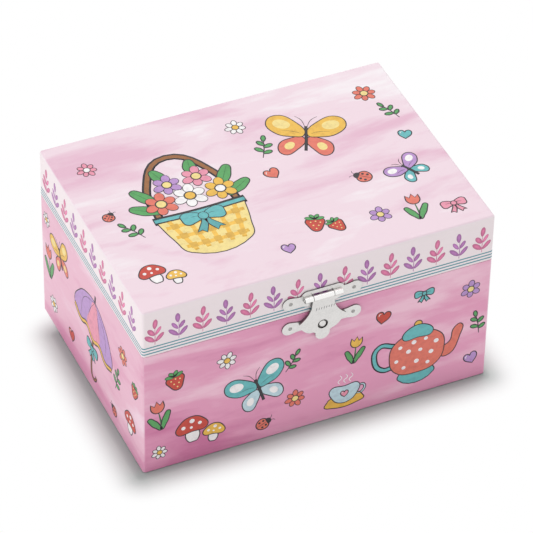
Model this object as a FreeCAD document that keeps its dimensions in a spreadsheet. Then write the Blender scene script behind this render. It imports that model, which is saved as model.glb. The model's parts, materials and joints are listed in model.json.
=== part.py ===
import math
import os

import FreeCAD
import Part
import Sketcher
from FreeCAD import Placement, Rotation, Vector

# Driving dimensions: millimetres, degrees and counts, one cell of the sheet each
SIZES = {
    # Box
    "box_width": 152,
    "box_depth": 109,
    "box_height": 85,
    "body_top": 62,
    "seam_gap": 0.3,
    "corner_round": 1.2,
    "paper": 0.3,
    "paper_fold": 15,
    "board": 4,
    "base_board": 4,
    "lid_board": 3,
    "base_sheet": 0.5,
    "sheet_inset": 2,
    "lining": 0.8,
    "lining_drop": 1,
    # Mirror under the lid
    "mirror_width": 100,
    "mirror_depth": 64,
    "mirror_thick": 2,
    "mirror_lip": 2,
    "mirror_ledge": 0.8,
    "fit_gap": 0.2,
    # Tray and stage, whose deck is measured up from the barrel's axis
    "stage_front": -4.5,
    "stage_board": 2.5,
    "stage_cheek": 3,
    "deck_top": 22,
    "deck_thick": 3,
    "deck_lap": 1.5,
    "divider_place": 42.5,
    "divider_thick": 1.6,
    "divider_top": 34,
    "felt": 1.2,
    "felt_gap": 0.4,
    "roll_count": 3,
    "roll_height": 22,
    "roll_gap": 0.5,
    "roll_crown": 5,
    "roll_draw": 1.2,
    "roll_end": 3,
    # Hinges at the back, in from each end of the box
    "hinge_place": 31,
    "hinge_length": 25,
    "hinge_leaf": 0.8,
    "hinge_drop": 12,
    "knuckle_radius": 1.5,
    "knuckle_gap": 0.1,
    "knuckle_length": 9.4,
    "knuckle_split": 0.2,
    "hinge_pin_radius": 0.7,
    "leaf_clear": 0.2,
    "stop_reach": 5.2,
    "stop_thick": 1.2,
    "stop_drop": 0.5,
    "hinge_nail_place": 8,
    # Nails and screws
    "nail_radius": 0.5,
    "nail_head": 0.85,
    "nail_head_thick": 0.4,
    "nail_length": 4.5,
    "nail_taper": 0.6,
    "hole_gap": 0.02,
    # Clasp at the front
    "clasp_place": 0.5,
    "plate_thick": 0.6,
    "hasp_thick": 0.8,
    "hasp_gap": 0.3,
    "clasp_pin_height": 69.6,
    "clasp_pin_radius": 0.5,
    "barrel_radius": 1.25,
    "barrel_length": 8.7,
    "barrel_back_gap": 0.15,
    "lug_length": 3.6,
    "lug_gap": 0.2,
    "window_margin": 0.5,
    "stud_height": 55,
    "stud_radius": 1.85,
    "stud_seat": 0.5,
    "stud_shank": 1,
    "stud_depth": 3,
    "stud_gap": 0.4,
    "clasp_nail_place": 13.7,
    "lid_nail_height": 68.9,
    "body_nail_height": 56.1,
    "ear_reach": 17.2,
    "ear_half": 3,
    "neck_half": 2.4,
    "lid_plate_half": 9.2,
    "lid_plate_up": 3.5,
    "lid_plate_down": 4.3,
    "body_plate_half": 8.6,
    "body_plate_up": 5,
    "body_plate_down": 4.2,
    "plate_foot": 0.6,
    "plate_swell": 0.86,
    "plate_shoulder": 0.92,
    "plate_shoulder_rise": 0.8,
    "hasp_waist": 5.1,
    "hasp_waist_drop": 5.4,
    "hasp_half": 10.2,
    "hasp_half_drop": 11.9,
    "hasp_tongue": 3.1,
    "hasp_tongue_drop": 18.4,
    "tongue_straight": 0.9,
    "flare_out": 0.47,
    "flare_drop": 0.53,
    "under_out": 0.53,
    "under_drop": 0.51,
    # Movement on the back wall, whose top is measured up from the barrel's axis
    "bedplate": 2.5,
    "bedplate_left": -14,
    "bedplate_right": 50,
    "bedplate_low": 0.6,
    "bedplate_high": 18.4,
    "running_gap": 0.4,
    "bearing_gap": 0.04,
    "barrel_height": 18,
    "drum_radius": 11.6,
    "drum_wall": 0.8,
    "drum_depth": 8,
    "drum_face": 1.2,
    "drum_cap": 0.8,
    "crown_teeth": 48,
    "crown_height": 0.9,
    "crown_tooth": 0.3,
    "crown_width": 1.6,
    "pinion_teeth": 12,
    "pinion_pitch": 2.6,
    "pinion_width": 1,
    "gear_module": 0.5,
    "fine_module": 0.4,
    "gear_width": 1.2,
    "tooth_tip": 0.8,
    "tooth_root": 1.25,
    "tooth_root_share": 0.4,
    "tooth_tip_share": 0.16,
    "cylinder_teeth": 36,
    "governor_teeth": 12,
    "governor_wheel_teeth": 30,
    "fly_teeth": 10,
    "arbor_radius": 0.8,
    "cylinder_left": 14,
    "cylinder_length": 20,
    "cylinder_radius": 6.5,
    "pin_height": 0.6,
    "pin_radius": 0.22,
    "note_count": 18,
    "pins_per_note": 4,
    "comb_gap": 0.15,
    "comb_thick": 0.8,
    "comb_slot": 0.35,
    "comb_heel": 5,
    "comb_margin": 0.5,
    "comb_screw_share": 0.25,
    "post_thick": 0.9,
    "post_half": 3.2,
    "post_gap": 0.7,
    "fine_arbor": 0.5,
    "cheek_thick": 1,
    "cheek_half": 2.4,
    "bracket_foot": 1,
    "bracket_half": 4,
    "fly_reach": 5,
    "fly_width": 5,
    "fly_thick": 0.5,
    "fly_hub": 1,
    "brake_radius": 3,
    "brake_width": 1,
    "screw_radius": 1.1,
    "screw_head": 2.2,
    "screw_head_thick": 1.2,
    "comb_screw_head": 1.4,
    # Winding
    "wind_radius": 1.5,
    "wind_pivot": 0.9,
    "ratchet_radius": 5,
    "ratchet_width": 1.2,
    "ratchet_teeth": 16,
    "ratchet_depth": 0.8,
    "ratchet_tooth_share": 0.9,
    "click_thick": 0.5,
    "click_length": 12,
    "escutcheon_radius": 6,
    "escutcheon_thick": 0.6,
    "key_stem": 2.5,
    "key_stem_length": 6,
    "key_socket": 4,
    "key_wing": 4.6,
    "key_wing_place": 5.6,
    "key_thick": 1.8,
    "key_eye": 1.9,
    "mainspring_turns": 6,
    "mainspring_start": 2.4,
    "mainspring_pitch": 1.2,
    "mainspring_thick": 0.5,
    # Turntable
    "lay_radius": 0.8,
    "stage_gear_low": 15,
    "stage_gear_thick": 2,
    "turntable_teeth": 52,
    "spindle_radius": 1.5,
    "gear_hub": 3,
    "bush_radius": 2.6,
    "bush_flange": 4,
    "flange_thick": 0.4,
    "turntable_radius": 8,
    "turntable_thick": 1.6,
    "pivot_depth": 1.6,
    # Dancer, whose own sizes are parts of a stature that fits under the mirror
    "fold_angle": 44,
    "dancer_clear": 2.6,
    "dancer_parts": 40,
    "neck_spring_length": 10,
    "neck_spring_radius": 1.6,
    "neck_spring_wire": 0.45,
    "neck_spring_turns": 6,
    "spring_seat": 0.3,
    "foot_radius": 2.3,
    "foot_height": 1.5,
    "toe_radius": 0.9,
    "leg_length": 14,
    "hip_radius": 2.5,
    "waist_radius": 1.75,
    "waist_height": 4,
    "chest_radius": 2.5,
    "chest_height": 3.6,
    "shoulder_height": 2,
    "neck_radius": 0.85,
    "neck_height": 1.6,
    "head_radius": 2.1,
    "head_height": 2.5,
    "bun_radius": 1.15,
    "arm_ring": 5.4,
    "arm_radius": 0.7,
    "arm_gap": 14,
    "leg_bulge": 0.45,
    "waist_bulge": 0.48,
    "chest_bulge": 0.52,
    "shoulder_bulge": 0.56,
    "bun_set": 0.8,
    "tutu_radius": 12,
    "tutu_edge": 0.8,
    "tutu_root": 2.2,
    "tutu_lift": 0.6,
    # Stop rod that the lid presses
    "stop_radius": 0.8,
    "stop_pad": 1.2,
    "stop_pad_thick": 1,
    "stop_gap": 0.2,
    "guide_radius": 2,
    "guide_flange": 3,
    "guide_rise": 1,
    "stop_collar": 1.8,
    "stop_collar_thick": 1,
    "stop_spring_length": 7,
    "stop_spring_radius": 1.8,
    "stop_spring_wire": 0.4,
    "stop_spring_turns": 6,
}


class Formula:
    """A size worked out from the sheet: the text of its expression and its number now."""

    def __init__(self, text, number):
        self.text = text
        self.number = number

    def __float__(self):
        return float(self.number)

    def __add__(self, other):
        return Formula(f"({self.text} + {words(other)})", float(self) + float(other))

    def __radd__(self, other):
        return Formula(f"({words(other)} + {self.text})", float(other) + float(self))

    def __sub__(self, other):
        return Formula(f"({self.text} - {words(other)})", float(self) - float(other))

    def __rsub__(self, other):
        return Formula(f"({words(other)} - {self.text})", float(other) - float(self))

    def __mul__(self, other):
        return Formula(f"({self.text} * {words(other)})", float(self) * float(other))

    def __rmul__(self, other):
        return Formula(f"({words(other)} * {self.text})", float(other) * float(self))

    def __truediv__(self, other):
        return Formula(f"({self.text} / {words(other)})", float(self) / float(other))

    def __rtruediv__(self, other):
        return Formula(f"({words(other)} / {self.text})", float(other) / float(self))

    def __neg__(self):
        return Formula(f"(0 - {self.text})", -float(self))


def words(size):
    """The expression text of a formula or of a plain number."""
    return size.text if isinstance(size, Formula) else str(size)


def cosine(angle):
    return Formula(f"cos({angle.text})", math.cos(math.radians(float(angle))))


def tangent(angle):
    return Formula(f"tan({angle.text})", math.tan(math.radians(float(angle))))


class Sheet:
    """The spreadsheet of driving dimensions; each cell is read by its name as a formula."""

    def __init__(self, document):
        self.cells = document.addObject("Spreadsheet::Sheet", "Sizes")
        for row, (name, number) in enumerate(SIZES.items(), start=1):
            self.cells.set(f"A{row}", name)
            self.cells.set(f"B{row}", str(number))
            self.cells.setAlias(f"B{row}", name)
        document.recompute()

    def __getattr__(self, name):
        return Formula(f"Sizes.{name}", float(self.cells.get(name)))


doc = FreeCAD.newDocument("JewelleryBox")
s = Sheet(doc)
nodes = []

TURNS = {
    "X": Rotation(Vector(0, 1, 0), 90),
    "Y": Rotation(Vector(1, 0, 0), -90),
    "Z": Rotation(),
}
FACING_FRONT = Rotation(Vector(1, 0, 0), 90)


# Building blocks


def bind(thing, prop, size):
    """Ties a property to the sheet."""
    thing.setExpression(prop, words(size))


def move(thing, x, y, z, turn=Rotation()):
    """Places a thing at sheet sizes, turned as given."""
    thing.Placement = Placement(Vector(float(x), float(y), float(z)), turn)
    for axis, size in zip("xyz", (x, y, z)):
        bind(thing, f"Placement.Base.{axis}", size)


def node(name, thing):
    """Marks a finished sub-part, whose label names its file."""
    thing.Label = name
    nodes.append(thing)
    return thing


def box(name, x, y, z):
    """A block between two planes on each axis."""
    thing = doc.addObject("Part::Box", name)
    bind(thing, "Length", x[1] - x[0])
    bind(thing, "Width", y[1] - y[0])
    bind(thing, "Height", z[1] - z[0])
    move(thing, x[0], y[0], z[0])
    return thing


def rod(name, radius, along, start, end, across):
    """A round bar along one axis; across gives its place on the other two, in XYZ order."""
    thing = doc.addObject("Part::Cylinder", name)
    bind(thing, "Radius", radius)
    bind(thing, "Height", end - start)
    place = list(across)
    place.insert("XYZ".index(along), start)
    move(thing, *place, turn=TURNS[along])
    return thing


def fuse(name, *parts):
    thing = doc.addObject("Part::MultiFuse", name)
    thing.Shapes = list(parts)
    thing.Refine = True
    return thing


def cut(name, base, *tools):
    thing = doc.addObject("Part::Cut", name)
    thing.Base = base
    thing.Tool = tools[0] if len(tools) == 1 else fuse(f"{name}_tools", *tools)
    thing.Refine = True
    return thing


def group(name, *parts):
    """Like pieces that share one node as separate solids."""
    thing = doc.addObject("Part::Compound", name)
    thing.Links = list(parts)
    return thing


def origin_plane(body, role):
    return next(plane for plane in body.Origin.OriginFeatures if plane.Role == role)


def new_sketch(body, role, name):
    sketch = body.newObject("Sketcher::SketchObject", name)
    sketch.AttachmentSupport = [(origin_plane(body, role), "")]
    sketch.MapMode = "FlatFace"
    return sketch


def pin_point(sketch, geometry, end, point, name):
    """Holds one end of a sketch line at sheet sizes."""
    for axis, size in zip("XY", point):
        rule = Sketcher.Constraint(f"Distance{axis}", -1, 1, geometry, end, float(size))
        index = sketch.addConstraint(rule)
        sketch.renameConstraint(index, f"{name}{axis}")
        bind(sketch, f"Constraints.{name}{axis}", size)


def draw_circle(sketch, radius):
    circle = sketch.addGeometry(Part.Circle(Vector(), Vector(0, 0, 1), float(radius)))
    sketch.addConstraint(Sketcher.Constraint("Coincident", circle, 3, -1, 1))
    index = sketch.addConstraint(Sketcher.Constraint("Radius", circle, float(radius)))
    sketch.renameConstraint(index, "radius")
    bind(sketch, "Constraints.radius", radius)


def draw_outline(sketch, start, steps):
    """A closed outline of lines, one end point each, and arcs, a middle and an end point each."""
    first = previous = None
    here = start
    for number, step in enumerate(steps):
        ends = [Vector(float(p[0]), float(p[1]), 0) for p in (here, *step)]
        head = 1
        if len(step) == 1:
            line = sketch.addGeometry(Part.LineSegment(ends[0], ends[1]))
        else:
            leftward = (ends[1] - ends[0]).cross(ends[2] - ends[0]).z > 0
            head = 1 if leftward else 2
            line = sketch.addGeometry(Part.Arc(*(ends if leftward else ends[::-1])))
            dot = sketch.addGeometry(Part.Point(ends[1]), True)
            pin_point(sketch, dot, 1, step[0], f"bulge{number}")
            sketch.addConstraint(Sketcher.Constraint("PointOnObject", dot, 1, line))
        pin_point(sketch, line, head, here, f"point{number}")
        if previous:
            sketch.addConstraint(Sketcher.Constraint("Coincident", *previous, line, head))
        first = first or (line, head)
        previous = (line, 3 - head)
        here = step[-1]
    sketch.addConstraint(Sketcher.Constraint("Coincident", *previous, *first))


def pad(body, sketch, length, name, back=False):
    thing = body.newObject("PartDesign::Pad", name)
    thing.Profile = sketch
    thing.Reversed = back
    bind(thing, "Length", length)
    return thing


def plate(name, role, start, steps, thick, back=False):
    """A flat piece cut to an outline."""
    body = doc.addObject("PartDesign::Body", name)
    sketch = new_sketch(body, role, f"{name}_outline")
    draw_outline(sketch, start, steps)
    pad(body, sketch, thick, f"{name}_pad", back)
    return body


def turned(name, start, steps):
    """A piece turned about its own Z axis from a half outline."""
    body = doc.addObject("PartDesign::Body", name)
    sketch = new_sketch(body, "XZ_Plane", f"{name}_outline")
    draw_outline(sketch, start, steps)
    spin = body.newObject("PartDesign::Revolution", f"{name}_turn")
    spin.Profile = sketch
    spin.ReferenceAxis = (sketch, ["V_Axis"])
    spin.Angle = 360
    return body


def board(name, x, y, z, radius, rounded):
    """A block whose chosen edges are rounded; rounded picks them by direction and height."""
    wide = (x[1] - x[0]) / 2
    deep = (y[1] - y[0]) / 2
    corners = [(wide, -deep), (wide, deep), (-wide, deep), (-wide, -deep)]
    body = plate(name, "XY_Plane", corners[-1], [(p,) for p in corners], z[1] - z[0])
    move(body, (x[0] + x[1]) / 2, (y[0] + y[1]) / 2, z[0])
    doc.recompute()
    base = body.Tip
    edges = [f"Edge{i}" for i, edge in enumerate(base.Shape.Edges, start=1) if rounded(edge, base.Shape)]
    fillet = body.newObject("PartDesign::Fillet", f"{name}_round")
    fillet.Base = (base, edges)
    bind(fillet, "Radius", radius)
    return body


def is_upright(edge):
    ends = [vertex.Point for vertex in edge.Vertexes]
    return abs(ends[0].z - ends[1].z) > edge.Length / 2


def upright_edges(edge, shape):
    return is_upright(edge)


def front_edges(edge, shape):
    return is_upright(edge) and edge.CenterOfMass.y < 0


def back_edges(edge, shape):
    return is_upright(edge) and edge.CenterOfMass.y > 0


def cover_edges(edge, shape):
    return is_upright(edge) or edge.CenterOfMass.z > shape.CenterOfMass.z


def gear(name, teeth, pitch_radius, module, width, phase=0):
    """A spur gear on Z with straight-sided teeth and running backlash; tooth one points along Y."""
    root = pitch_radius - s.tooth_root * module
    tip = pitch_radius + s.tooth_tip * module
    step = 2 * math.pi * pitch_radius / teeth
    low = step * s.tooth_root_share / 2
    high = step * s.tooth_tip_share / 2
    sink = root - low / 2
    body = doc.addObject("PartDesign::Body", name)
    disc = new_sketch(body, "XY_Plane", f"{name}_disc")
    draw_circle(disc, root)
    pad(body, disc, width, f"{name}_blank")
    outline = new_sketch(body, "XY_Plane", f"{name}_tooth")
    corners = [(low, sink), (high, tip), (-high, tip), (-low, sink)]
    draw_outline(outline, corners[-1], [(p,) for p in corners])
    bind(outline, "AttachmentOffset.Rotation.Angle", phase)
    return repeat_round(body, outline, pad(body, outline, width, f"{name}_cut"), teeth, name)


def repeat_round(body, sketch, feature, count, name):
    """Repeats a feature evenly round the sketch's normal."""
    pattern = body.newObject("PartDesign::PolarPattern", f"{name}_round")
    pattern.Originals = [feature]
    pattern.Axis = (sketch, ["N_Axis"])
    pattern.Angle = 360
    bind(pattern, "Occurrences", count)
    body.Tip = pattern
    return body


def feature(name, shape, at=Placement()):
    """A sub-part whose shape comes from a formula."""
    thing = doc.addObject("Part::Feature", name)
    thing.Shape = shape
    thing.Placement = at
    return thing


# Places that several sub-parts share

half_x = s.box_width / 2
half_y = s.box_depth / 2
board_x = half_x - s.paper
board_y = half_y - s.paper
room_x = board_x - s.board
room_y = board_y - s.board
lined_x = room_x - s.lining
lined_y = room_y - s.lining
inner_round = s.corner_round - s.paper

wall_low = s.base_sheet + s.paper
wall_high = s.body_top - s.paper
floor = wall_low + s.base_board
lining_high = s.body_top - s.lining_drop

lid_low = s.body_top + s.seam_gap
rail_low = lid_low + s.paper
rail_high = s.box_height - s.paper - s.lid_board
frame_low = rail_high - s.mirror_thick - s.mirror_ledge

hinge_y = half_y + s.knuckle_radius + s.knuckle_gap
hinge_z = s.body_top + s.seam_gap / 2

plate_y = -half_y - s.plate_thick
hasp_y = plate_y - s.hasp_gap
clasp_pin_y = -half_y - s.barrel_back_gap - s.barrel_radius

deck_high = s.barrel_height + s.deck_top
deck_low = deck_high - s.deck_thick
riser_back = s.stage_front + s.stage_board
divider_x = half_x - s.divider_place

bed_face = room_y - s.bedplate
bed_low = floor + s.bedplate_low
bed_high = s.barrel_height + s.bedplate_high
ratchet_back = bed_face - s.running_gap
drum_back = ratchet_back - s.ratchet_width - s.running_gap
drum_front = drum_back - s.drum_depth
arbor_y = drum_front - s.crown_height / 2 - s.pinion_pitch
crown_radius = s.pinion_pitch * s.crown_teeth / s.pinion_teeth
pinion_module = 2 * s.pinion_pitch / s.pinion_teeth
cylinder_right = s.cylinder_left + s.cylinder_length
post_left = s.cylinder_left - s.post_gap - s.post_thick
post_right = cylinder_right + s.post_gap
wheel_x = post_right + s.post_thick + s.running_gap
wheel_radius = s.gear_module * s.cylinder_teeth / 2
governor_radius = s.gear_module * s.governor_teeth / 2
governor_z = s.barrel_height + wheel_radius + governor_radius
governor_wheel_radius = s.fine_module * s.governor_wheel_teeth / 2
fly_radius = s.fine_module * s.fly_teeth / 2
fly_y = arbor_y - governor_wheel_radius - fly_radius
cheek_x = wheel_x + s.gear_width + s.post_gap
fly_gear_x = cheek_x + s.cheek_thick + s.post_gap
fly_x = fly_gear_x + s.gear_width + s.post_gap
far_cheek_x = fly_x + s.fly_width + s.post_gap
brake_x = far_cheek_x + s.cheek_thick + s.post_gap
comb_low = s.barrel_height + s.cylinder_radius + s.pin_height + s.comb_gap
lay_gear_radius = s.gear_module * s.cylinder_teeth / 2
turntable_gear_radius = s.gear_module * s.turntable_teeth / 2
spindle_y = arbor_y - lay_gear_radius - turntable_gear_radius
stage_gear_z = s.barrel_height + s.stage_gear_low
turntable_low = deck_high + s.flange_thick + s.fit_gap
turntable_high = turntable_low + s.turntable_thick
spring_bend = s.neck_spring_length * 180 / (math.pi * s.fold_angle)
fold_arm = spring_bend * tangent(s.fold_angle / 2)
fold_z = turntable_high + fold_arm
stature = (frame_low - s.dancer_clear - fold_z) / cosine(s.fold_angle)
dancer_part = stature / s.dancer_parts
stop_x = brake_x + s.brake_width / 2
brake_high = governor_z + s.brake_radius
guide_high = deck_high + s.guide_rise
collar_low = guide_high + s.stop_spring_length


# Holes that run through several pieces, and the nails that fill them

hinge_x = half_x - s.hinge_place
hinge_sides = {"left": -hinge_x, "right": hinge_x}
hinge_nail_spots = [
    place + side * s.hinge_nail_place
    for place in hinge_sides.values()
    for side in (-1, 1)
]
clasp_spots = [s.clasp_place + side * s.clasp_nail_place for side in (-1, 1)]
screw_spots = [
    (s.bedplate_left + s.post_half, bed_high - s.post_half),
    (s.cylinder_left + s.post_half, bed_low + s.post_half),
    (s.bedplate_right - s.post_half, bed_low + s.post_half),
]


def hole(name, radius, x, z, y):
    """A drilled hole along Y between two depths."""
    return rod(name, radius + s.hole_gap, "Y", y[0], y[1], (x, z))


def nail_set(name, spots, seat, outwards):
    """Round nails driven along Y through a plate whose outer face is at the seat."""
    pieces = []
    for i, (x, z) in enumerate(spots):
        head = doc.addObject("Part::Cone", f"{name}_head{i}")
        bind(head, "Radius1", s.nail_head)
        bind(head, "Radius2", s.nail_head * s.nail_taper)
        bind(head, "Height", s.nail_head_thick)
        move(head, x, seat, z, TURNS["Y"] if outwards > 0 else FACING_FRONT)
        deep = seat - outwards * s.nail_length
        low, high = (deep, seat) if outwards > 0 else (seat, deep)
        shank = rod(f"{name}_shank{i}", s.nail_radius, "Y", low, high, (x, z))
        pieces.append(fuse(f"{name}{i}", head, shank))
    return pieces


def drill(name, spots, y, radius):
    """One tool with a hole at each spot."""
    return [hole(f"{name}{i}", radius, x, z, y) for i, (x, z) in enumerate(spots)]


body_hinge_nails = [(x, hinge_z - s.hinge_nail_place) for x in hinge_nail_spots]
lid_hinge_nails = [(x, hinge_z + s.hinge_nail_place) for x in hinge_nail_spots]
body_clasp_nails = [(x, s.body_nail_height) for x in clasp_spots]
lid_clasp_nails = [(x, s.lid_nail_height) for x in clasp_spots]
leaf_face = half_y + s.hinge_leaf
nail_deep_back = leaf_face - s.nail_length
nail_deep_front = plate_y + s.nail_length

back_holes = fuse(
    "back_holes",
    *drill("body_hinge_hole", body_hinge_nails, (nail_deep_back, leaf_face), s.nail_radius),
    *drill("screw_hole", screw_spots, (bed_face, half_y), s.screw_radius),
    rod("arbor_hole", s.wind_radius + s.running_gap, "Y", room_y, half_y, (0, s.barrel_height)),
)
front_holes = fuse(
    "front_holes",
    *drill("body_clasp_hole", body_clasp_nails, (plate_y, nail_deep_front), s.nail_radius),
    hole("stud_hole", s.stud_shank, s.clasp_place, s.stud_height, (-half_y, -half_y + s.stud_depth)),
)
lid_back_holes = fuse(
    "lid_back_holes",
    *drill("lid_hinge_hole", lid_hinge_nails, (nail_deep_back, leaf_face), s.nail_radius),
)
lid_front_holes = fuse(
    "lid_front_holes",
    *drill("lid_clasp_hole", lid_clasp_nails, (plate_y, nail_deep_front), s.nail_radius),
)


# Box body


def make_body_boards():
    rise = (wall_low, wall_high)
    sheet_x = half_x - s.sheet_inset
    sheet_y = half_y - s.sheet_inset
    node("base_sheet", box("base_sheet", (-sheet_x, sheet_x), (-sheet_y, sheet_y), (0, s.base_sheet)))
    node("base_panel", box("base_panel", (-room_x, room_x), (-room_y, room_y), (wall_low, floor)))
    front = board("front_board", (-board_x, board_x), (-board_y, -room_y), rise, inner_round, front_edges)
    node("front_panel", cut("front_panel", front, front_holes))
    back = board("back_board", (-board_x, board_x), (room_y, board_y), rise, inner_round, back_edges)
    node("back_panel", cut("back_panel", back, back_holes))
    node("left_panel", box("left_panel", (-board_x, -room_x), (-room_y, room_y), rise))
    node("right_panel", box("right_panel", (room_x, board_x), (-room_y, room_y), rise))


def make_body_wrap():
    """Printed paper over the boards, folded over the rim and under the base."""
    skin = board("body_skin", (-half_x, half_x), (-half_y, half_y), (s.base_sheet, s.body_top),
                 s.corner_round, upright_edges)
    core = board("body_core", (-board_x, board_x), (-board_y, board_y), (wall_low, wall_high),
                 inner_round, upright_edges)
    rim = (wall_high - s.paper, s.body_top + s.paper)
    mouth = box("body_mouth", (-room_x, room_x), (-room_y, room_y), rim)
    under_x = room_x - s.paper_fold
    under_y = room_y - s.paper_fold
    foot = (s.base_sheet - s.paper, wall_low + s.paper)
    under = box("body_under", (-under_x, under_x), (-under_y, under_y), foot)
    node("body_paper_wrap", cut("body_paper_wrap", skin, core, mouth, under, back_holes, front_holes))


def make_body_lining():
    rise = (floor, lining_high)
    outside = box("lining_outside", (-room_x, room_x), (-room_y, room_y), rise)
    inside = box("lining_inside", (-lined_x, lined_x), (-lined_y, lined_y), (floor - s.felt, s.body_top))
    notch = box("lining_notch", (s.bedplate_left - s.fit_gap, s.bedplate_right + s.fit_gap),
                (lined_y - s.felt, room_y), (floor - s.felt, deck_low))
    node("body_lining", cut("body_lining", outside, inside, notch))


# Tray and stage


def make_stage():
    """Raised floor at the back that hides the movement, on a three-sided frame."""
    rise = (floor, deck_low)
    side = lined_x - s.fit_gap
    back = lined_y - s.fit_gap
    riser = box("stage_riser", (-side, side), (s.stage_front, riser_back), rise)
    cheeks = [
        box("stage_cheek_left", (-side, -side + s.stage_cheek), (riser_back, back), rise),
        box("stage_cheek_right", (side - s.stage_cheek, side), (riser_back, back), rise),
    ]
    node("stage_frame", fuse("stage_frame", riser, *cheeks))
    panel = box("deck_board", (-side, side), (s.stage_front - s.deck_lap, back), (deck_low, deck_high))
    under = deck_low - s.felt
    over = deck_high + s.felt
    bush = rod("deck_bush_hole", s.bush_radius + s.hole_gap, "Z", under, over, (0, spindle_y))
    guide = rod("deck_guide_hole", s.guide_radius + s.hole_gap, "Z", under, over, (stop_x, fly_y))
    pivot_high = deck_low + s.pivot_depth
    pivot = rod("deck_pivot_hole", s.lay_radius + s.bearing_gap, "Z", under, pivot_high, (0, arbor_y))
    node("stage_deck", cut("stage_deck", panel, bush, guide, pivot))


def make_tray():
    """Two open compartments with felt floors, and the row of ring rolls between them."""
    front = -lined_y + s.fit_gap
    back = s.stage_front - s.fit_gap
    rise = (floor, s.divider_top)
    inner = divider_x - s.divider_thick / 2
    outer = divider_x + s.divider_thick / 2
    node("tray_dividers", group(
        "tray_dividers",
        box("divider_left", (-outer, -inner), (front, back), rise),
        box("divider_right", (inner, outer), (front, back), rise),
    ))
    y = (front + s.felt_gap, back - s.felt_gap)
    z = (floor, floor + s.felt)
    side = lined_x - s.felt_gap
    node("tray_felts", group(
        "tray_felts",
        box("felt_left", (-side, -outer - s.felt_gap), y, z),
        box("felt_middle", (-inner + s.felt_gap, inner - s.felt_gap), y, z),
        box("felt_right", (outer + s.felt_gap, side), y, z),
    ))
    make_ring_rolls(y, inner - s.felt_gap, floor + s.felt)


def roll_section(x, half, low, high, draw):
    """One cross-section of a ring roll: flat foot, bulging sides and a round crown."""
    shoulder = high - float(s.roll_crown)
    wide = half - draw
    middle = (low + shoulder) / 2
    foot = [Vector(x, -wide, low), Vector(x, wide, low)]
    top = [Vector(x, wide, shoulder), Vector(x, -wide, shoulder)]
    edges = [
        Part.LineSegment(foot[0], foot[1]).toShape(),
        Part.Arc(foot[1], Vector(x, half, middle), top[0]).toShape(),
        Part.Arc(top[0], Vector(x, 0, high), top[1]).toShape(),
        Part.Arc(top[1], Vector(x, -half, middle), foot[0]).toShape(),
    ]
    return Part.Wire(edges)


def make_ring_rolls(y, reach, seat):
    """Soft rolls that hold rings between them, drawn in at their ends."""
    count = int(float(s.roll_count))
    pitch = (float(y[1]) - float(y[0])) / count
    half = (pitch - float(s.roll_gap)) / 2
    low = float(seat)
    high = low + float(s.roll_height)
    end = float(reach)
    full = end - float(s.roll_end)
    draw = float(s.roll_draw)
    for i in range(count):
        sections = [
            roll_section(-end, half - draw, low, high - draw, draw),
            roll_section(-full, half, low, high, draw),
            roll_section(full, half, low, high, draw),
            roll_section(end, half - draw, low, high - draw, draw),
        ]
        at = Placement(Vector(0, float(y[0]) + (i + 0.5) * pitch, 0), Rotation())
        shape = Part.makeLoft(sections, True, True)
        node(f"ring_roll_{i + 1}", feature(f"ring_roll_{i + 1}", shape, at))


# Lid


def make_lid_boards():
    rise = (rail_low, rail_high)
    top = (rail_high, s.box_height - s.paper)
    cover = board("lid_top_panel", (-board_x, board_x), (-board_y, board_y), top, inner_round, cover_edges)
    node("lid_top_panel", cover)
    front = board("lid_front_board", (-board_x, board_x), (-board_y, -room_y), rise, inner_round, front_edges)
    node("lid_front_rail", cut("lid_front_rail", front, lid_front_holes))
    back = board("lid_back_board", (-board_x, board_x), (room_y, board_y), rise, inner_round, back_edges)
    node("lid_back_rail", cut("lid_back_rail", back, lid_back_holes))
    node("lid_left_rail", box("lid_left_rail", (-board_x, -room_x), (-room_y, room_y), rise))
    node("lid_right_rail", box("lid_right_rail", (room_x, board_x), (-room_y, room_y), rise))


def make_lid_wrap():
    skin = board("lid_skin", (-half_x, half_x), (-half_y, half_y), (lid_low, s.box_height),
                 s.corner_round, cover_edges)
    core = board("lid_core", (-board_x, board_x), (-board_y, board_y), (rail_low, s.box_height - s.paper),
                 inner_round, cover_edges)
    mouth = box("lid_mouth", (-room_x, room_x), (-room_y, room_y), (lid_low - s.paper, rail_low + s.paper))
    node("lid_paper_wrap", cut("lid_paper_wrap", skin, core, mouth, lid_back_holes, lid_front_holes))


def make_lid_lining():
    """Padded frame round the mirror, and the lining of the lid's sides."""
    glass_x = s.mirror_width / 2
    glass_y = s.mirror_depth / 2
    blank = box("frame_blank", (-room_x, room_x), (-room_y, room_y), (frame_low, rail_high))
    window = box("frame_window", (-glass_x + s.mirror_lip, glass_x - s.mirror_lip),
                 (-glass_y + s.mirror_lip, glass_y - s.mirror_lip), (frame_low - s.felt, rail_high))
    rebate = box("frame_rebate", (-glass_x - s.fit_gap, glass_x + s.fit_gap),
                 (-glass_y - s.fit_gap, glass_y + s.fit_gap), (frame_low + s.mirror_ledge, rail_high))
    node("lid_lining_frame", cut("lid_lining_frame", blank, window, rebate))
    glass_z = (rail_high - s.mirror_thick, rail_high)
    node("mirror", box("mirror", (-glass_x, glass_x), (-glass_y, glass_y), glass_z))
    rise = (lid_low + s.lining_drop, frame_low)
    outside = box("lid_lining_outside", (-room_x, room_x), (-room_y, room_y), rise)
    inside = box("lid_lining_inside", (-lined_x, lined_x), (-lined_y, lined_y), (lid_low, rail_high))
    node("lid_wall_lining", cut("lid_wall_lining", outside, inside))


# Hinges


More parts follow.
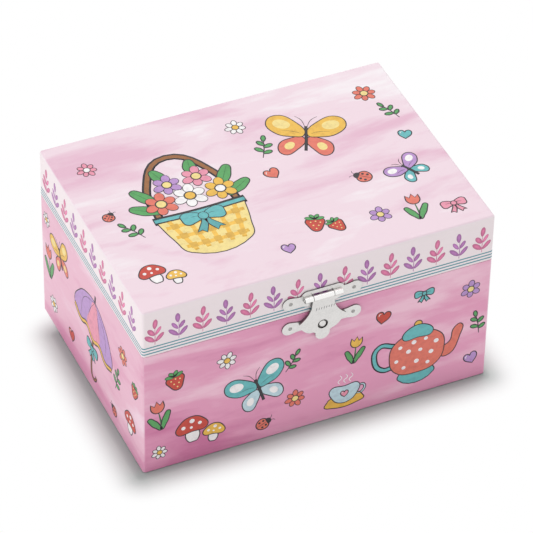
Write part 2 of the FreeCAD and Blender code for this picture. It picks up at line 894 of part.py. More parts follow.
def make_hinge(side, place):
    """A butt hinge: outer knuckles and stop lips on the body leaf, middle knuckle on the lid leaf."""
    ends = (place - s.hinge_length / 2, place + s.hinge_length / 2)
    middle = (place - s.knuckle_length / 2, place + s.knuckle_length / 2)
    outer = [(ends[0], middle[0] - s.knuckle_split), (middle[1] + s.knuckle_split, ends[1])]
    face = (half_y, leaf_face)
    reach = s.knuckle_radius + s.leaf_clear
    low = [box(f"leaf_low_{side}", ends, face, (hinge_z - s.hinge_drop, hinge_z - reach))]
    for i, x in enumerate(outer):
        low.append(rod(f"knuckle_{side}{i}", s.knuckle_radius, "X", x[0], x[1], (hinge_y, hinge_z)))
        low.append(box(f"web_{side}{i}", x, face, (hinge_z - reach, hinge_z)))
        low.append(box(f"stop_{side}{i}", x, (half_y, hinge_y + s.stop_reach),
                       (hinge_z - s.stop_drop - s.stop_thick, hinge_z - s.stop_drop)))
    bore = rod(f"bore_{side}", s.hinge_pin_radius + s.bearing_gap, "X", ends[0], ends[1], (hinge_y, hinge_z))
    body_leaf = fuse(f"body_leaf_{side}", *low)
    node(f"hinge_leaf_body_{side}", cut(f"hinge_leaf_body_{side}", body_leaf, bore, back_holes))
    high = [
        box(f"leaf_high_{side}", ends, face, (hinge_z + reach, hinge_z + s.hinge_drop)),
        rod(f"knuckle_{side}", s.knuckle_radius, "X", middle[0], middle[1], (hinge_y, hinge_z)),
        box(f"web_{side}", middle, face, (hinge_z, hinge_z + reach)),
    ]
    lid_leaf = fuse(f"lid_leaf_{side}", *high)
    node(f"hinge_leaf_lid_{side}", cut(f"hinge_leaf_lid_{side}", lid_leaf, bore, lid_back_holes))
    return rod(f"hinge_pin_{side}", s.hinge_pin_radius, "X", ends[0], ends[1], (hinge_y, hinge_z))


# Clasp


def eared_outline(half, up, down, ear_rise):
    """A plate with a rounded ear and a neck on each side, seen from the front."""
    neck = s.clasp_nail_place - s.ear_half
    right_bottom = (half, ear_rise - s.neck_half)
    right_top = (half, ear_rise + s.neck_half)
    ear_low = (neck, ear_rise - s.neck_half)
    ear_high = (neck, ear_rise + s.neck_half)
    tip = (s.ear_reach, ear_rise)
    ear_bottom = (s.clasp_nail_place, ear_rise - s.ear_half)
    ear_top = (s.clasp_nail_place, ear_rise + s.ear_half)
    foot = half * s.plate_foot
    swell = half * s.plate_swell
    swell_z = ear_rise / 2 - (down + s.neck_half) / 2
    shoulder = half * s.plate_shoulder
    shoulder_z = up * s.plate_shoulder_rise
    start = (-foot, -down)
    steps = [
        ((foot, -down),),
        ((swell, swell_z), right_bottom),
        (ear_low,),
        (ear_bottom,),
        (tip, ear_top),
        (ear_high,),
        (right_top,),
        ((shoulder, shoulder_z), (foot, up)),
        ((-foot, up),),
        ((-shoulder, shoulder_z), (-right_top[0], right_top[1])),
        ((-ear_high[0], ear_high[1]),),
        ((-ear_top[0], ear_top[1]),),
        ((-tip[0], tip[1]), (-ear_bottom[0], ear_bottom[1])),
        ((-ear_low[0], ear_low[1]),),
        ((-right_bottom[0], right_bottom[1]),),
        ((-swell, swell_z), start),
    ]
    return start, steps


def make_clasp_plates():
    start, steps = eared_outline(s.lid_plate_half, s.lid_plate_up, s.lid_plate_down,
                                 s.lid_nail_height - s.clasp_pin_height)
    sheet = plate("lid_plate_sheet", "XZ_Plane", start, steps, s.plate_thick)
    move(sheet, s.clasp_place, -half_y, s.clasp_pin_height)
    opening = s.barrel_length / 2 + s.lug_gap
    lugs = []
    for i, side in enumerate((-1, 1)):
        inner = s.clasp_place + side * opening
        outer = s.clasp_place + side * (opening + s.lug_length)
        low, high = (outer, inner) if side < 0 else (inner, outer)
        lugs.append(rod(f"lug{i}", s.barrel_radius, "X", low, high, (clasp_pin_y, s.clasp_pin_height)))
    width = (s.clasp_place - opening, s.clasp_place + opening)
    tall = s.barrel_radius + s.window_margin
    gap_z = (s.clasp_pin_height - tall, s.clasp_pin_height + tall)
    window = box("clasp_window", width, (plate_y - s.felt, -half_y), gap_z)
    bore = rod("clasp_bore", s.clasp_pin_radius + s.bearing_gap, "X", s.clasp_place - opening - s.lug_length,
               s.clasp_place + opening + s.lug_length, (clasp_pin_y, s.clasp_pin_height))
    plain = cut("lid_plate_window", sheet, window, lid_front_holes)
    node("clasp_lid_plate", cut("clasp_lid_plate", fuse("lid_plate_lugs", plain, *lugs), bore))

    start, steps = eared_outline(s.body_plate_half, s.body_plate_up, s.body_plate_down,
                                 s.body_nail_height - s.stud_height)
    sheet = plate("body_plate_sheet", "XZ_Plane", start, steps, s.plate_thick)
    move(sheet, s.clasp_place, -half_y, s.stud_height)
    eye = hole("body_plate_eye", s.stud_radius, s.clasp_place, s.stud_height, (plate_y, -half_y))
    node("clasp_body_plate", cut("clasp_body_plate", sheet, eye, front_holes))
    return rod("clasp_pin", s.clasp_pin_radius, "X", s.clasp_place - opening - s.lug_length,
               s.clasp_place + opening + s.lug_length, (clasp_pin_y, s.clasp_pin_height))


def make_stud():
    """Round-headed stud that the hasp snaps over."""
    seat = -half_y - s.stud_seat
    ball = doc.addObject("Part::Sphere", "stud_ball")
    bind(ball, "Radius", s.stud_radius)
    move(ball, s.clasp_place, seat, s.stud_height)
    wide = 2 * s.stud_radius
    behind = box("stud_behind", (s.clasp_place - wide, s.clasp_place + wide), (-half_y, wide - half_y),
                 (s.stud_height - wide, s.stud_height + wide))
    head = cut("stud_head", ball, behind)
    spot = (s.clasp_place, s.stud_height)
    collar = rod("stud_collar", s.stud_radius, "Y", seat, -half_y, spot)
    shank = rod("stud_shank", s.stud_shank, "Y", -half_y, s.stud_depth - half_y, spot)
    node("clasp_stud", fuse("clasp_stud", head, collar, shank))


def make_hasp():
    """Bell-shaped hasp with a hinge barrel above, an eye for the stud and a rounded finger tongue."""
    top = s.barrel_length / 2
    waist = (s.hasp_waist, -s.hasp_waist_drop)
    wide = (s.hasp_half, -s.hasp_half_drop)
    tongue = (s.hasp_tongue, -s.hasp_tongue_drop)
    flare = ((waist[0] + wide[0]) * s.flare_out, (waist[1] + wide[1]) * s.flare_drop)
    under = ((wide[0] + tongue[0]) * s.under_out, (wide[1] + tongue[1]) * s.under_drop)
    foot = (s.hasp_tongue, -s.hasp_tongue_drop - s.tongue_straight)
    tip = (0, foot[1] - s.hasp_tongue)
    start = (-top, 0)
    steps = [
        ((-waist[0], waist[1]),),
        ((-flare[0], flare[1]), (-wide[0], wide[1])),
        ((-under[0], under[1]), (-tongue[0], tongue[1])),
        ((-foot[0], foot[1]),),
        (tip, foot),
        (tongue,),
        (under, wide),
        (flare, waist),
        ((top, 0),),
        (start,),
    ]
    sheet = plate("hasp_sheet", "XZ_Plane", start, steps, s.hasp_thick)
    move(sheet, s.clasp_place, hasp_y, s.clasp_pin_height)
    barrel = rod("hasp_barrel", s.barrel_radius, "X", s.clasp_place - top, s.clasp_place + top,
                 (clasp_pin_y, s.clasp_pin_height))
    eye = rod("hasp_eye", s.stud_radius + s.stud_gap, "Y", hasp_y - s.hasp_thick * 2, hasp_y + s.hasp_thick,
              (s.clasp_place, s.stud_height))
    bore = rod("hasp_bore", s.clasp_pin_radius + s.bearing_gap, "X", s.clasp_place - s.hasp_waist,
               s.clasp_place + s.hasp_waist, (clasp_pin_y, s.clasp_pin_height))
    node("clasp_hasp", cut("clasp_hasp", fuse("hasp_joined", sheet, barrel), eye, bore))


# Movement


def make_bedplate():
    """Cast bedplate with bearing posts, the comb boss and the arm that carries the stage shaft."""
    rise = (bed_low, bed_high)
    bed = box("bed_slab", (s.bedplate_left, s.bedplate_right), (bed_face, room_y), rise)
    y = (arbor_y - s.post_half, bed_face)
    near = box("bed_post_near", (post_left, post_left + s.post_thick), y,
               (s.barrel_height - s.post_half, s.barrel_height + s.post_half))
    far = box("bed_post_far", (post_right, post_right + s.post_thick), y,
              (s.barrel_height - s.post_half, governor_z + s.post_half))
    boss_low = bed_high - s.comb_heel
    boss = box("bed_boss", (s.cylinder_left + s.comb_margin, cylinder_right - s.comb_margin),
               (arbor_y + s.comb_thick / 2, bed_face), (boss_low, bed_high))
    arm_low = s.barrel_height + s.drum_radius + s.running_gap
    arm_high = stage_gear_z - s.running_gap
    arm = box("bed_arm", (-s.post_half, s.post_half), y, (arm_low, arm_high))
    solid = fuse("bed_solid", bed, near, far, boss, arm)
    bores = [
        rod("bore_cylinder", s.arbor_radius + s.bearing_gap, "X", post_left, post_right + s.post_thick,
            (arbor_y, s.barrel_height)),
        rod("bore_governor", s.fine_arbor + s.bearing_gap, "X", post_right, post_right + s.post_thick,
            (arbor_y, governor_z)),
        rod("bore_lay", s.lay_radius + s.bearing_gap, "Z", arm_low, arm_high, (0, arbor_y)),
        rod("bore_wind", s.wind_radius + s.bearing_gap, "Y", bed_face, room_y, (0, s.barrel_height)),
    ]
    bores += [hole(f"bore_comb{i}", s.screw_radius, x, comb_screw_z(), (arbor_y, bed_face))
              for i, x in enumerate(comb_screw_x())]
    node("movement_bedplate", cut("movement_bedplate", solid, *bores, back_holes))


def comb_screw_x():
    inset = s.cylinder_length * s.comb_screw_share
    return [s.cylinder_left + inset, cylinder_right - inset]


def comb_screw_z():
    return bed_high - s.comb_heel / 2


def make_comb():
    """Steel comb: a heel plate with one slot sawn between each two teeth."""
    width = s.cylinder_length - 2 * s.comb_margin
    pitch = width / s.note_count
    deep = bed_high - s.comb_heel - comb_low
    tall = bed_high - comb_low
    blank = [((width, 0),), ((width, tall),), ((0, tall),), ((0, 0),)]
    body = plate("comb_blank", "XZ_Plane", (0, 0), blank, s.comb_thick)
    slot = new_sketch(body, "XZ_Plane", "comb_slot_outline")
    left = pitch - s.comb_slot / 2
    right = pitch + s.comb_slot / 2
    corner = (left, -s.comb_slot)
    draw_outline(slot, corner, [((right, -s.comb_slot),), ((right, deep),), ((left, deep),), (corner,)])
    saw = body.newObject("PartDesign::Pocket", "comb_saw")
    saw.Profile = slot
    saw.Type = 1
    saw.Midplane = True
    row = body.newObject("PartDesign::LinearPattern", "comb_row")
    row.Originals = [saw]
    row.Direction = (slot, ["H_Axis"])
    bind(row, "Length", pitch * (s.note_count - 2))
    bind(row, "Occurrences", s.note_count - 1)
    body.Tip = row
    move(body, s.cylinder_left + s.comb_margin, arbor_y + s.comb_thick / 2, comb_low)
    face = arbor_y - s.comb_thick / 2
    holes = [hole(f"comb_hole{i}", s.screw_radius, x, comb_screw_z(), (face - s.felt, arbor_y + s.felt))
             for i, x in enumerate(comb_screw_x())]
    node("comb", cut("comb", body, *holes))


def make_screws():
    """Bedplate screws through the back wall, and the two screws of the comb."""
    pieces = []
    for i, (x, z) in enumerate(screw_spots):
        head = rod(f"bed_screw_head{i}", s.screw_head, "Y", half_y, half_y + s.screw_head_thick, (x, z))
        shank = rod(f"bed_screw_shank{i}", s.screw_radius, "Y", bed_face, half_y, (x, z))
        slot = box(f"bed_screw_slot{i}", (x - s.screw_head, x + s.screw_head),
                   (half_y + s.screw_head_thick / 2, half_y + s.screw_head_thick),
                   (z - s.fly_thick / 2, z + s.fly_thick / 2))
        pieces.append(cut(f"bed_screw{i}", fuse(f"bed_screw_blank{i}", head, shank), slot))
    face = arbor_y - s.comb_thick / 2
    for i, x in enumerate(comb_screw_x()):
        spot = (x, comb_screw_z())
        head = rod(f"comb_screw_head{i}", s.comb_screw_head, "Y", face - s.screw_head_thick, face, spot)
        shank = rod(f"comb_screw_shank{i}", s.screw_radius, "Y", face, bed_face, spot)
        pieces.append(fuse(f"comb_screw{i}", head, shank))
    node("movement_screws", group("movement_screws", *pieces))


def make_barrel():
    """Spring barrel with crown teeth on its face, its cap and the coiled mainspring."""
    face = doc.addObject("PartDesign::Body", "barrel_face")
    disc = new_sketch(face, "XY_Plane", "barrel_disc")
    draw_circle(disc, s.drum_radius)
    pad(face, disc, s.drum_face, "barrel_disc_pad")
    outline = new_sketch(face, "XY_Plane", "crown_tooth_outline")
    half = s.crown_tooth / 2
    low = crown_radius - s.crown_width / 2
    high = crown_radius + s.crown_width / 2
    corners = [(half, low), (half, high), (-half, high), (-half, low)]
    draw_outline(outline, corners[-1], [(p,) for p in corners])
    bind(outline, "AttachmentOffset.Rotation.Angle", 180 / s.crown_teeth)
    tooth = pad(face, outline, s.drum_face + s.crown_height, "crown_tooth_pad")
    repeat_round(face, outline, tooth, s.crown_teeth, "crown")
    centre = (0, s.barrel_height)
    move(face, 0, drum_front + s.drum_face, s.barrel_height, FACING_FRONT)
    inside = s.drum_radius - s.drum_wall
    wall = rod("barrel_wall", s.drum_radius, "Y", drum_front + s.drum_face, drum_back, centre)
    room = rod("barrel_room", inside, "Y", drum_front + s.drum_face, drum_back, centre)
    pivot = rod("barrel_pivot", s.wind_pivot + s.bearing_gap, "Y", drum_front - s.crown_height,
                drum_front + s.drum_face, centre)
    shell = fuse("barrel_shell", face, cut("barrel_tube", wall, room))
    node("spring_barrel", cut("spring_barrel", shell, pivot))
    cap = rod("barrel_cap_disc", inside - s.hole_gap, "Y", drum_back - s.drum_cap, drum_back, centre)
    eye = rod("barrel_cap_eye", s.wind_radius + s.bearing_gap, "Y", drum_back - s.drum_cap, drum_back, centre)
    node("barrel_cap", cut("barrel_cap", cap, eye))
    make_mainspring()


def spiral_edge(offset):
    """Half circles of growing radius that make one edge of the coiled strip."""
    step = float(s.mainspring_pitch) / 2
    radius = float(s.mainspring_start) + offset
    arcs = []
    for i in range(2 * int(float(s.mainspring_turns))):
        side = -1 if i % 2 else 1
        centre = Vector(side * step / 2, 0, 0)
        start = centre + Vector(-side * radius, 0, 0)
        top = centre + Vector(0, side * radius, 0)
        end = centre + Vector(side * radius, 0, 0)
        arcs.append(Part.Arc(start, top, end).toShape())
        radius += step
    return arcs


def make_mainspring():
    half = float(s.mainspring_thick) / 2
    inner = spiral_edge(-half)
    outer = spiral_edge(half)
    ends = [
        Part.LineSegment(inner[0].firstVertex().Point, outer[0].firstVertex().Point).toShape(),
        Part.LineSegment(inner[-1].lastVertex().Point, outer[-1].lastVertex().Point).toShape(),
    ]
    wire = Part.Wire(Part.__sortEdges__(inner + outer + ends))
    front = drum_front + s.drum_face + s.running_gap
    depth = float(drum_back - s.drum_cap - s.running_gap - front)
    strip = Part.Face(wire).extrude(Vector(0, 0, depth))
    at = Placement(Vector(0, float(front), float(s.barrel_height)), TURNS["Y"])
    node("mainspring", feature("mainspring", strip, at))


def make_winding():
    """Winding arbor with its ratchet, the click that holds it, the key and its escutcheon."""
    centre = (0, s.barrel_height)
    key_y = half_y + s.escutcheon_thick + s.running_gap
    shoulder = drum_front + s.drum_face + s.fit_gap
    shaft = rod("wind_shaft", s.wind_radius, "Y", shoulder, key_y + s.key_socket - s.fit_gap, centre)
    pivot = rod("wind_pivot", s.wind_pivot, "Y", drum_front + s.fit_gap, shoulder, centre)
    ratchet = make_ratchet()
    node("winding_arbor", fuse("winding_arbor", shaft, pivot, ratchet))

    outside = half_y + s.escutcheon_thick
    plate_disc = rod("escutcheon_disc", s.escutcheon_radius, "Y", half_y, outside, centre)
    plate_eye = rod("escutcheon_eye", s.wind_radius + s.running_gap, "Y", half_y, outside, centre)
    node("key_escutcheon", cut("key_escutcheon", plate_disc, plate_eye))

    wing_y = key_y + s.key_stem_length + s.key_wing / 2
    parts = [rod("key_stem", s.key_stem, "Y", key_y, wing_y, centre)]
    eyes = []
    flat = (s.barrel_height - s.key_thick / 2, s.barrel_height + s.key_thick / 2)
    for i, side in enumerate((-1, 1)):
        spot = (side * s.key_wing_place, wing_y)
        parts.append(rod(f"key_wing{i}", s.key_wing, "Z", flat[0], flat[1], spot))
        eyes.append(rod(f"key_eye{i}", s.key_eye, "Z", flat[0], flat[1], spot))
    parts.append(box("key_bridge", (-s.key_wing_place, s.key_wing_place),
                     (wing_y - s.key_stem, wing_y + s.key_stem), flat))
    socket = rod("key_socket", s.wind_radius + s.hole_gap, "Y", key_y, key_y + s.key_socket, centre)
    node("winding_key", cut("winding_key", fuse("key_joined", *parts), socket, *eyes))

    tip = s.barrel_height + s.ratchet_radius + s.fit_gap
    root = s.ratchet_radius - s.click_length
    click = box("click_strip", (root, s.ratchet_radius),
                (ratchet_back - s.ratchet_width, ratchet_back), (tip, tip + s.click_thick))
    foot = box("click_foot", (root - s.click_thick, root),
               (ratchet_back - s.ratchet_width, bed_face), (tip - s.ratchet_depth, tip + s.click_thick))
    node("click_spring", fuse("click_spring", click, foot))


def make_ratchet():
    """Saw-toothed wheel on the winding arbor."""
    body = doc.addObject("PartDesign::Body", "ratchet")
    root = s.ratchet_radius - s.ratchet_depth
    disc = new_sketch(body, "XY_Plane", "ratchet_disc")
    draw_circle(disc, root)
    pad(body, disc, s.ratchet_width, "ratchet_blank")
    outline = new_sketch(body, "XY_Plane", "ratchet_tooth")
    step = 2 * math.pi * root / s.ratchet_teeth
    sink = root - s.ratchet_depth / 2
    corners = [(step * s.ratchet_tooth_share, sink), (0, s.ratchet_radius), (0, sink)]
    draw_outline(outline, corners[-1], [(p,) for p in corners])
    tooth = pad(body, outline, s.ratchet_width, "ratchet_cut")
    repeat_round(body, outline, tooth, s.ratchet_teeth, "ratchet")
    move(body, 0, ratchet_back, s.barrel_height, FACING_FRONT)
    return body


def make_cylinder():
    """Pinned cylinder on its arbor, with the pinion from the barrel and the wheel to the governor."""
    axis = (arbor_y, s.barrel_height)
    pinion = gear("cylinder_pinion", s.pinion_teeth, s.pinion_pitch, pinion_module, s.pinion_width)
    pinion_left = crown_radius - s.pinion_width / 2
    move(pinion, pinion_left, *axis, TURNS["X"])
    wheel = gear("cylinder_wheel", s.cylinder_teeth, wheel_radius, s.gear_module, s.gear_width)
    move(wheel, wheel_x, *axis, TURNS["X"])
    ends = (pinion_left - s.running_gap, wheel_x + s.gear_width)
    shaft = rod("cylinder_shaft", s.arbor_radius, "X", ends[0], ends[1], axis)
    node("cylinder_arbor", fuse("cylinder_arbor", shaft, pinion, wheel))
    drum = feature("cylinder_drum", pinned_drum())
    move(drum, s.cylinder_left, *axis, TURNS["X"])
    node("cylinder_drum", drum)


def pinned_drum():
    """Brass tube with tune pins set by a steady step round the drum, note by note."""
    radius = float(s.cylinder_radius)
    length = float(s.cylinder_length)
    notes = int(float(s.note_count))
    pins = int(float(s.pins_per_note))
    margin = float(s.comb_margin)
    pitch = (length - 2 * margin) / notes
    golden_turn = math.pi * (3 - math.sqrt(5))
    bore = float(s.arbor_radius + s.hole_gap)
    tube = Part.makeCylinder(radius, length).cut(Part.makeCylinder(bore, length))
    sink = float(s.pin_height)
    studs = []
    for i in range(notes * pins):
        height = margin + (i % notes + 0.5) * pitch
        angle = i * golden_turn
        out = Vector(math.cos(angle), math.sin(angle), 0)
        foot = out * (radius - sink) + Vector(0, 0, height)
        studs.append(Part.makeCylinder(float(s.pin_radius), sink + float(s.pin_height), foot, out))
    return tube.fuse(studs)


def make_governor():
    """Speed governor: wheel, fly with two vanes and its brake disc, in a bracket with two cheeks."""
    axis = (arbor_y, governor_z)
    pinion = gear("governor_pinion", s.governor_teeth, governor_radius, s.gear_module, s.gear_width,
                  180 / s.governor_teeth)
    move(pinion, wheel_x, *axis, TURNS["X"])
    wheel = gear("governor_wheel", s.governor_wheel_teeth, governor_wheel_radius, s.fine_module, s.gear_width)
    move(wheel, fly_gear_x, *axis, TURNS["X"])
    shaft = rod("governor_shaft", s.fine_arbor, "X", post_right, far_cheek_x + s.cheek_thick, axis)
    node("governor_arbor", fuse("governor_arbor", shaft, pinion, wheel))

    fly_axis = (fly_y, governor_z)
    small = gear("fly_pinion", s.fly_teeth, fly_radius, s.fine_module, s.gear_width, 180 / s.fly_teeth)
    move(small, fly_gear_x, *fly_axis, TURNS["X"])
    fly_shaft = rod("fly_shaft", s.fine_arbor, "X", cheek_x, brake_x + s.brake_width, fly_axis)
    hub = rod("fly_hub", s.fly_hub, "X", fly_x, fly_x + s.fly_width, fly_axis)
    vane = box("fly_vane", (fly_x, fly_x + s.fly_width), (fly_y - s.fly_reach, fly_y + s.fly_reach),
               (governor_z - s.fly_thick / 2, governor_z + s.fly_thick / 2))
    brake = rod("fly_brake", s.brake_radius, "X", brake_x, brake_x + s.brake_width, fly_axis)
    node("governor_fly", fuse("governor_fly", fly_shaft, small, hub, vane, brake))

    foot = box("bracket_foot", (cheek_x, far_cheek_x + s.cheek_thick), (bed_face - s.bracket_foot, bed_face),
               (governor_z - s.bracket_half, governor_z + s.bracket_half))
    parts = [foot]
    for i, x in enumerate((cheek_x, far_cheek_x)):
        parts.append(box(f"bracket_cheek{i}", (x, x + s.cheek_thick), (fly_y - s.cheek_half, bed_face),
                         (governor_z - s.cheek_half, governor_z + s.cheek_half)))
    ends = (cheek_x, far_cheek_x + s.cheek_thick)
    bores = [rod(f"bracket_bore{i}", s.fine_arbor + s.bearing_gap, "X", ends[0], ends[1], spot)
             for i, spot in enumerate((axis, fly_axis))]
    node("governor_bracket", cut("governor_bracket", fuse("bracket_joined", *parts), *bores))


# Turntable


def make_turntable():
    """Stage shaft driven by the barrel's crown, and the spindle that turns the dancer."""
    pinion_low = s.barrel_height + crown_radius - s.pinion_width / 2
    pinion = gear("stage_pinion", s.pinion_teeth, s.pinion_pitch, pinion_module, s.pinion_width)
    move(pinion, 0, arbor_y, pinion_low)
    wheel = gear("stage_wheel", s.cylinder_teeth, lay_gear_radius, s.gear_module, s.stage_gear_thick)
    move(wheel, 0, arbor_y, stage_gear_z)
    shaft = rod("stage_shaft", s.lay_radius, "Z", pinion_low - s.running_gap,
                deck_low + s.pivot_depth - s.fit_gap, (0, arbor_y))
    node("stage_drive_shaft", fuse("stage_drive_shaft", shaft, pinion, wheel))

    rim = gear("turntable_rim", s.turntable_teeth, turntable_gear_radius, s.gear_module, s.stage_gear_thick,
               180 / s.turntable_teeth)
    move(rim, 0, spindle_y, stage_gear_z)
    spot = (0, spindle_y)
    hub = rod("turntable_hub", s.gear_hub, "Z", stage_gear_z, deck_low - s.fit_gap, spot)
    bore = rod("turntable_bore", s.spindle_radius + s.hole_gap, "Z", stage_gear_z, deck_low, spot)
    node("turntable_gear", cut("turntable_gear", fuse("turntable_blank", rim, hub), bore))

    post = rod("spindle_post", s.spindle_radius, "Z", stage_gear_z, turntable_high, spot)
    disc = rod("spindle_disc", s.turntable_radius, "Z", turntable_low, turntable_high, spot)
    node("turntable_spindle", fuse("turntable_spindle", post, disc))

    sleeve = rod("bush_sleeve", s.bush_radius, "Z", deck_low, deck_high, spot)
    flange = rod("bush_flange", s.bush_flange, "Z", deck_high, deck_high + s.flange_thick, spot)
    eye = rod("bush_eye", s.spindle_radius + s.bearing_gap, "Z", deck_low, deck_high + s.flange_thick, spot)
    node("spindle_bush", cut("spindle_bush", fuse("bush_joined", sleeve, flange), eye))


# Springs

NUDGE = 1e-4
QUARTERS = 4
SAMPLES = 24
NEXT_TURN = 16


def arc_from(start, heading, end):
    """The arc that leaves start along heading and reaches end."""
    chord = end - start
    angle = heading.getAngle(chord)
    side = heading - chord * (heading.dot(chord) / chord.Length ** 2)
    side.normalize()
    middle = (start + end) * 0.5 + side * (chord.Length / 2 * math.tan(angle / 2))
    return Part.Arc(start, middle, end).toShape()


def biarc(start, leave, end, arrive):
    """Two arcs that share a tangent where they meet."""
    gap = end - start
    both = leave + arrive
    bend = 1 - leave.dot(arrive)
    along = gap.dot(both)
    reach = (math.sqrt(along ** 2 + 2 * bend * gap.dot(gap)) - along) / (2 * bend)
    joint = (start + end + (leave - arrive) * reach) * 0.5
    return [arc_from(start, leave, joint), arc_from(end, arrive * -1, joint)]


def coil(axis_line, turns, radius, wire, name):
    """A wire coil round an axis line, one unbroken tube on arcs of a quarter turn."""

    def point(turn):
        centre, across, up = axis_line(turn / turns)
        angle = 2 * math.pi * turn
        return centre + across * (radius * math.cos(angle)) + up * (radius * math.sin(angle))

    def heading(turn):
        way = point(turn + NUDGE) - point(turn - NUDGE)
        return way.normalize()

    stops = [i / QUARTERS for i in range(QUARTERS * turns + 1)]
    edges = []
    for here, there in zip(stops, stops[1:]):
        edges += biarc(point(here), heading(here), point(there), heading(there))
    ring = Part.Wire(Part.Circle(point(0), heading(0), wire / 2).toShape())
    tube = Part.Wire(Part.__sortEdges__(edges)).makePipeShell([ring], True, False)
    samples = [point(i / SAMPLES) for i in range(SAMPLES * turns + 1)]
    apart = min((a - b).Length for i, a in enumerate(samples) for b in samples[i + NEXT_TURN:])
    print(f"{name}: least gap between turns {apart - wire:.2f} mm")
    return tube


def make_stop_spring():
    low = float(guide_high + s.spring_seat)
    rise = float(s.stop_spring_length - 2 * s.spring_seat) - float(s.stop_spring_wire)
    start = low + float(s.stop_spring_wire) / 2

    def axis_line(share):
        return Vector(0, 0, start + share * rise), Vector(1, 0, 0), Vector(0, 1, 0)

    tube = coil(axis_line, int(float(s.stop_spring_turns)), float(s.stop_spring_radius),
                float(s.stop_spring_wire), "stop_spring")
    at = Placement(Vector(float(stop_x), float(fly_y), 0), Rotation())
    node("stop_spring", feature("stop_spring", tube, at))


def make_neck_spring():
    """Spring under the dancer, bent forward by the closed lid; it stands on the turntable."""
    bend = float(spring_bend)
    margin = math.degrees((float(s.spring_seat) + float(s.neck_spring_wire) / 2) / bend)
    fold = float(s.fold_angle)

    def axis_line(share):
        angle = math.radians(margin + share * (fold - 2 * margin))
        centre = Vector(0, -bend * (1 - math.cos(angle)), bend * math.sin(angle))
        return centre, Vector(1, 0, 0), Vector(0, math.cos(angle), math.sin(angle))

    tube = coil(axis_line, int(float(s.neck_spring_turns)), float(s.neck_spring_radius),
                float(s.neck_spring_wire), "ballerina_spring")
    at = Placement(Vector(0, float(spindle_y), float(turntable_high)), Rotation())
    node("ballerina_spring", feature("ballerina_spring", tube, at))


# Stop rod


def make_stop_rod():
    """Push rod from the lid down to the brake disc, in its deck guide."""
    spot = (stop_x, fly_y)
    low = brake_high + s.stop_gap
    pad_piece = rod("stop_pad", s.stop_pad, "Z", low, low + s.stop_pad_thick, spot)
    shaft = rod("stop_shaft", s.stop_radius, "Z", low, frame_low - s.stop_gap, spot)
    collar = rod("stop_collar", s.stop_collar, "Z", collar_low, collar_low + s.stop_collar_thick, spot)
    node("stop_rod", fuse("stop_rod", pad_piece, shaft, collar))
    sleeve = rod("guide_sleeve", s.guide_radius, "Z", deck_low, guide_high, spot)
    flange = rod("guide_flange", s.guide_flange, "Z", deck_high, guide_high, spot)
    eye = rod("guide_eye", s.stop_radius + s.bearing_gap, "Z", deck_low, guide_high, spot)
    node("stop_rod_guide", cut("stop_rod_guide", fuse("guide_joined", sleeve, flange), eye))


# Dancer


def dancer_outline(foot, hip):
    """Half outline of the dancer's shoe, legs, trunk and neck; also the heights of chest and neck."""
    ankle = foot + s.foot_height * dancer_part
    waist = hip + s.waist_height * dancer_part
    chest = waist + s.chest_height * dancer_part
    shoulder = chest + s.shoulder_height * dancer_part
    neck = shoulder + s.neck_height * dancer_part
    inside_head = neck + s.head_height / 2 * dancer_part
    shoe = s.foot_radius * dancer_part
    toe = s.toe_radius * dancer_part
    hip_out = s.hip_radius * dancer_part
    waist_out = s.waist_radius * dancer_part
    chest_out = s.chest_radius * dancer_part
    neck_out = s.neck_radius * dancer_part
    steps = [
        ((shoe, foot),),
        ((shoe, ankle),),
        ((toe, ankle),),
        (((toe + hip_out) * s.leg_bulge, (ankle + hip) / 2), (hip_out, hip)),
        (((hip_out + waist_out) * s.waist_bulge, (hip + waist) / 2), (waist_out, waist)),
        (((chest_out + waist_out) * s.chest_bulge, (waist + chest) / 2), (chest_out, chest)),
        (((chest_out + neck_out) * s.shoulder_bulge, (chest + shoulder) / 2), (neck_out, shoulder)),
        ((neck_out, inside_head),),
        ((0, inside_head),),
        ((0, foot),),
    ]
    return steps, chest, neck


def make_figure(foot, hip):
    """Moulded dancer with both arms overhead."""
    steps, chest, neck = dancer_outline(foot, hip)
    trunk = turned("dancer_trunk", (0, foot), steps)
    head_half = s.head_height * dancer_part
    head_out = s.head_radius * dancer_part
    head = doc.addObject("Part::Ellipsoid", "dancer_head")
    bind(head, "Radius1", head_half)
    bind(head, "Radius2", head_out)
    bind(head, "Radius3", head_out)
    move(head, 0, 0, neck + head_half)
    bun_out = s.bun_radius * dancer_part
    bun = doc.addObject("Part::Sphere", "dancer_bun")
    bind(bun, "Radius", bun_out)
    move(bun, 0, head_out * s.bun_set, neck + 2 * head_half - bun_out)
    ring = s.arm_ring * dancer_part
    arms = doc.addObject("Part::Torus", "dancer_arms")
    bind(arms, "Radius1", ring)
    bind(arms, "Radius2", s.arm_radius * dancer_part)
    bind(arms, "Angle3", 360 - s.arm_gap)
    turn = FACING_FRONT * Rotation(Vector(0, 0, 1), 90 + float(s.arm_gap) / 2)
    move(arms, 0, 0, chest + ring, turn)
    return group("ballerina_figure", fuse("dancer_joined", trunk, head, bun, arms))


def make_skirt(hip):
    root = s.tutu_root * dancer_part
    edge = s.tutu_edge / 2 * dancer_part
    out = s.tutu_radius * dancer_part
    rim = hip + root / 2 + s.tutu_lift * dancer_part
    inner = s.hip_radius * dancer_part + s.fit_gap
    return turned("ballerina_tutu", (inner, hip), [
        ((out, rim - edge),),
        ((out + edge, rim), (out, rim + edge)),
        ((inner, hip + root),),
        ((inner, hip),),
    ])


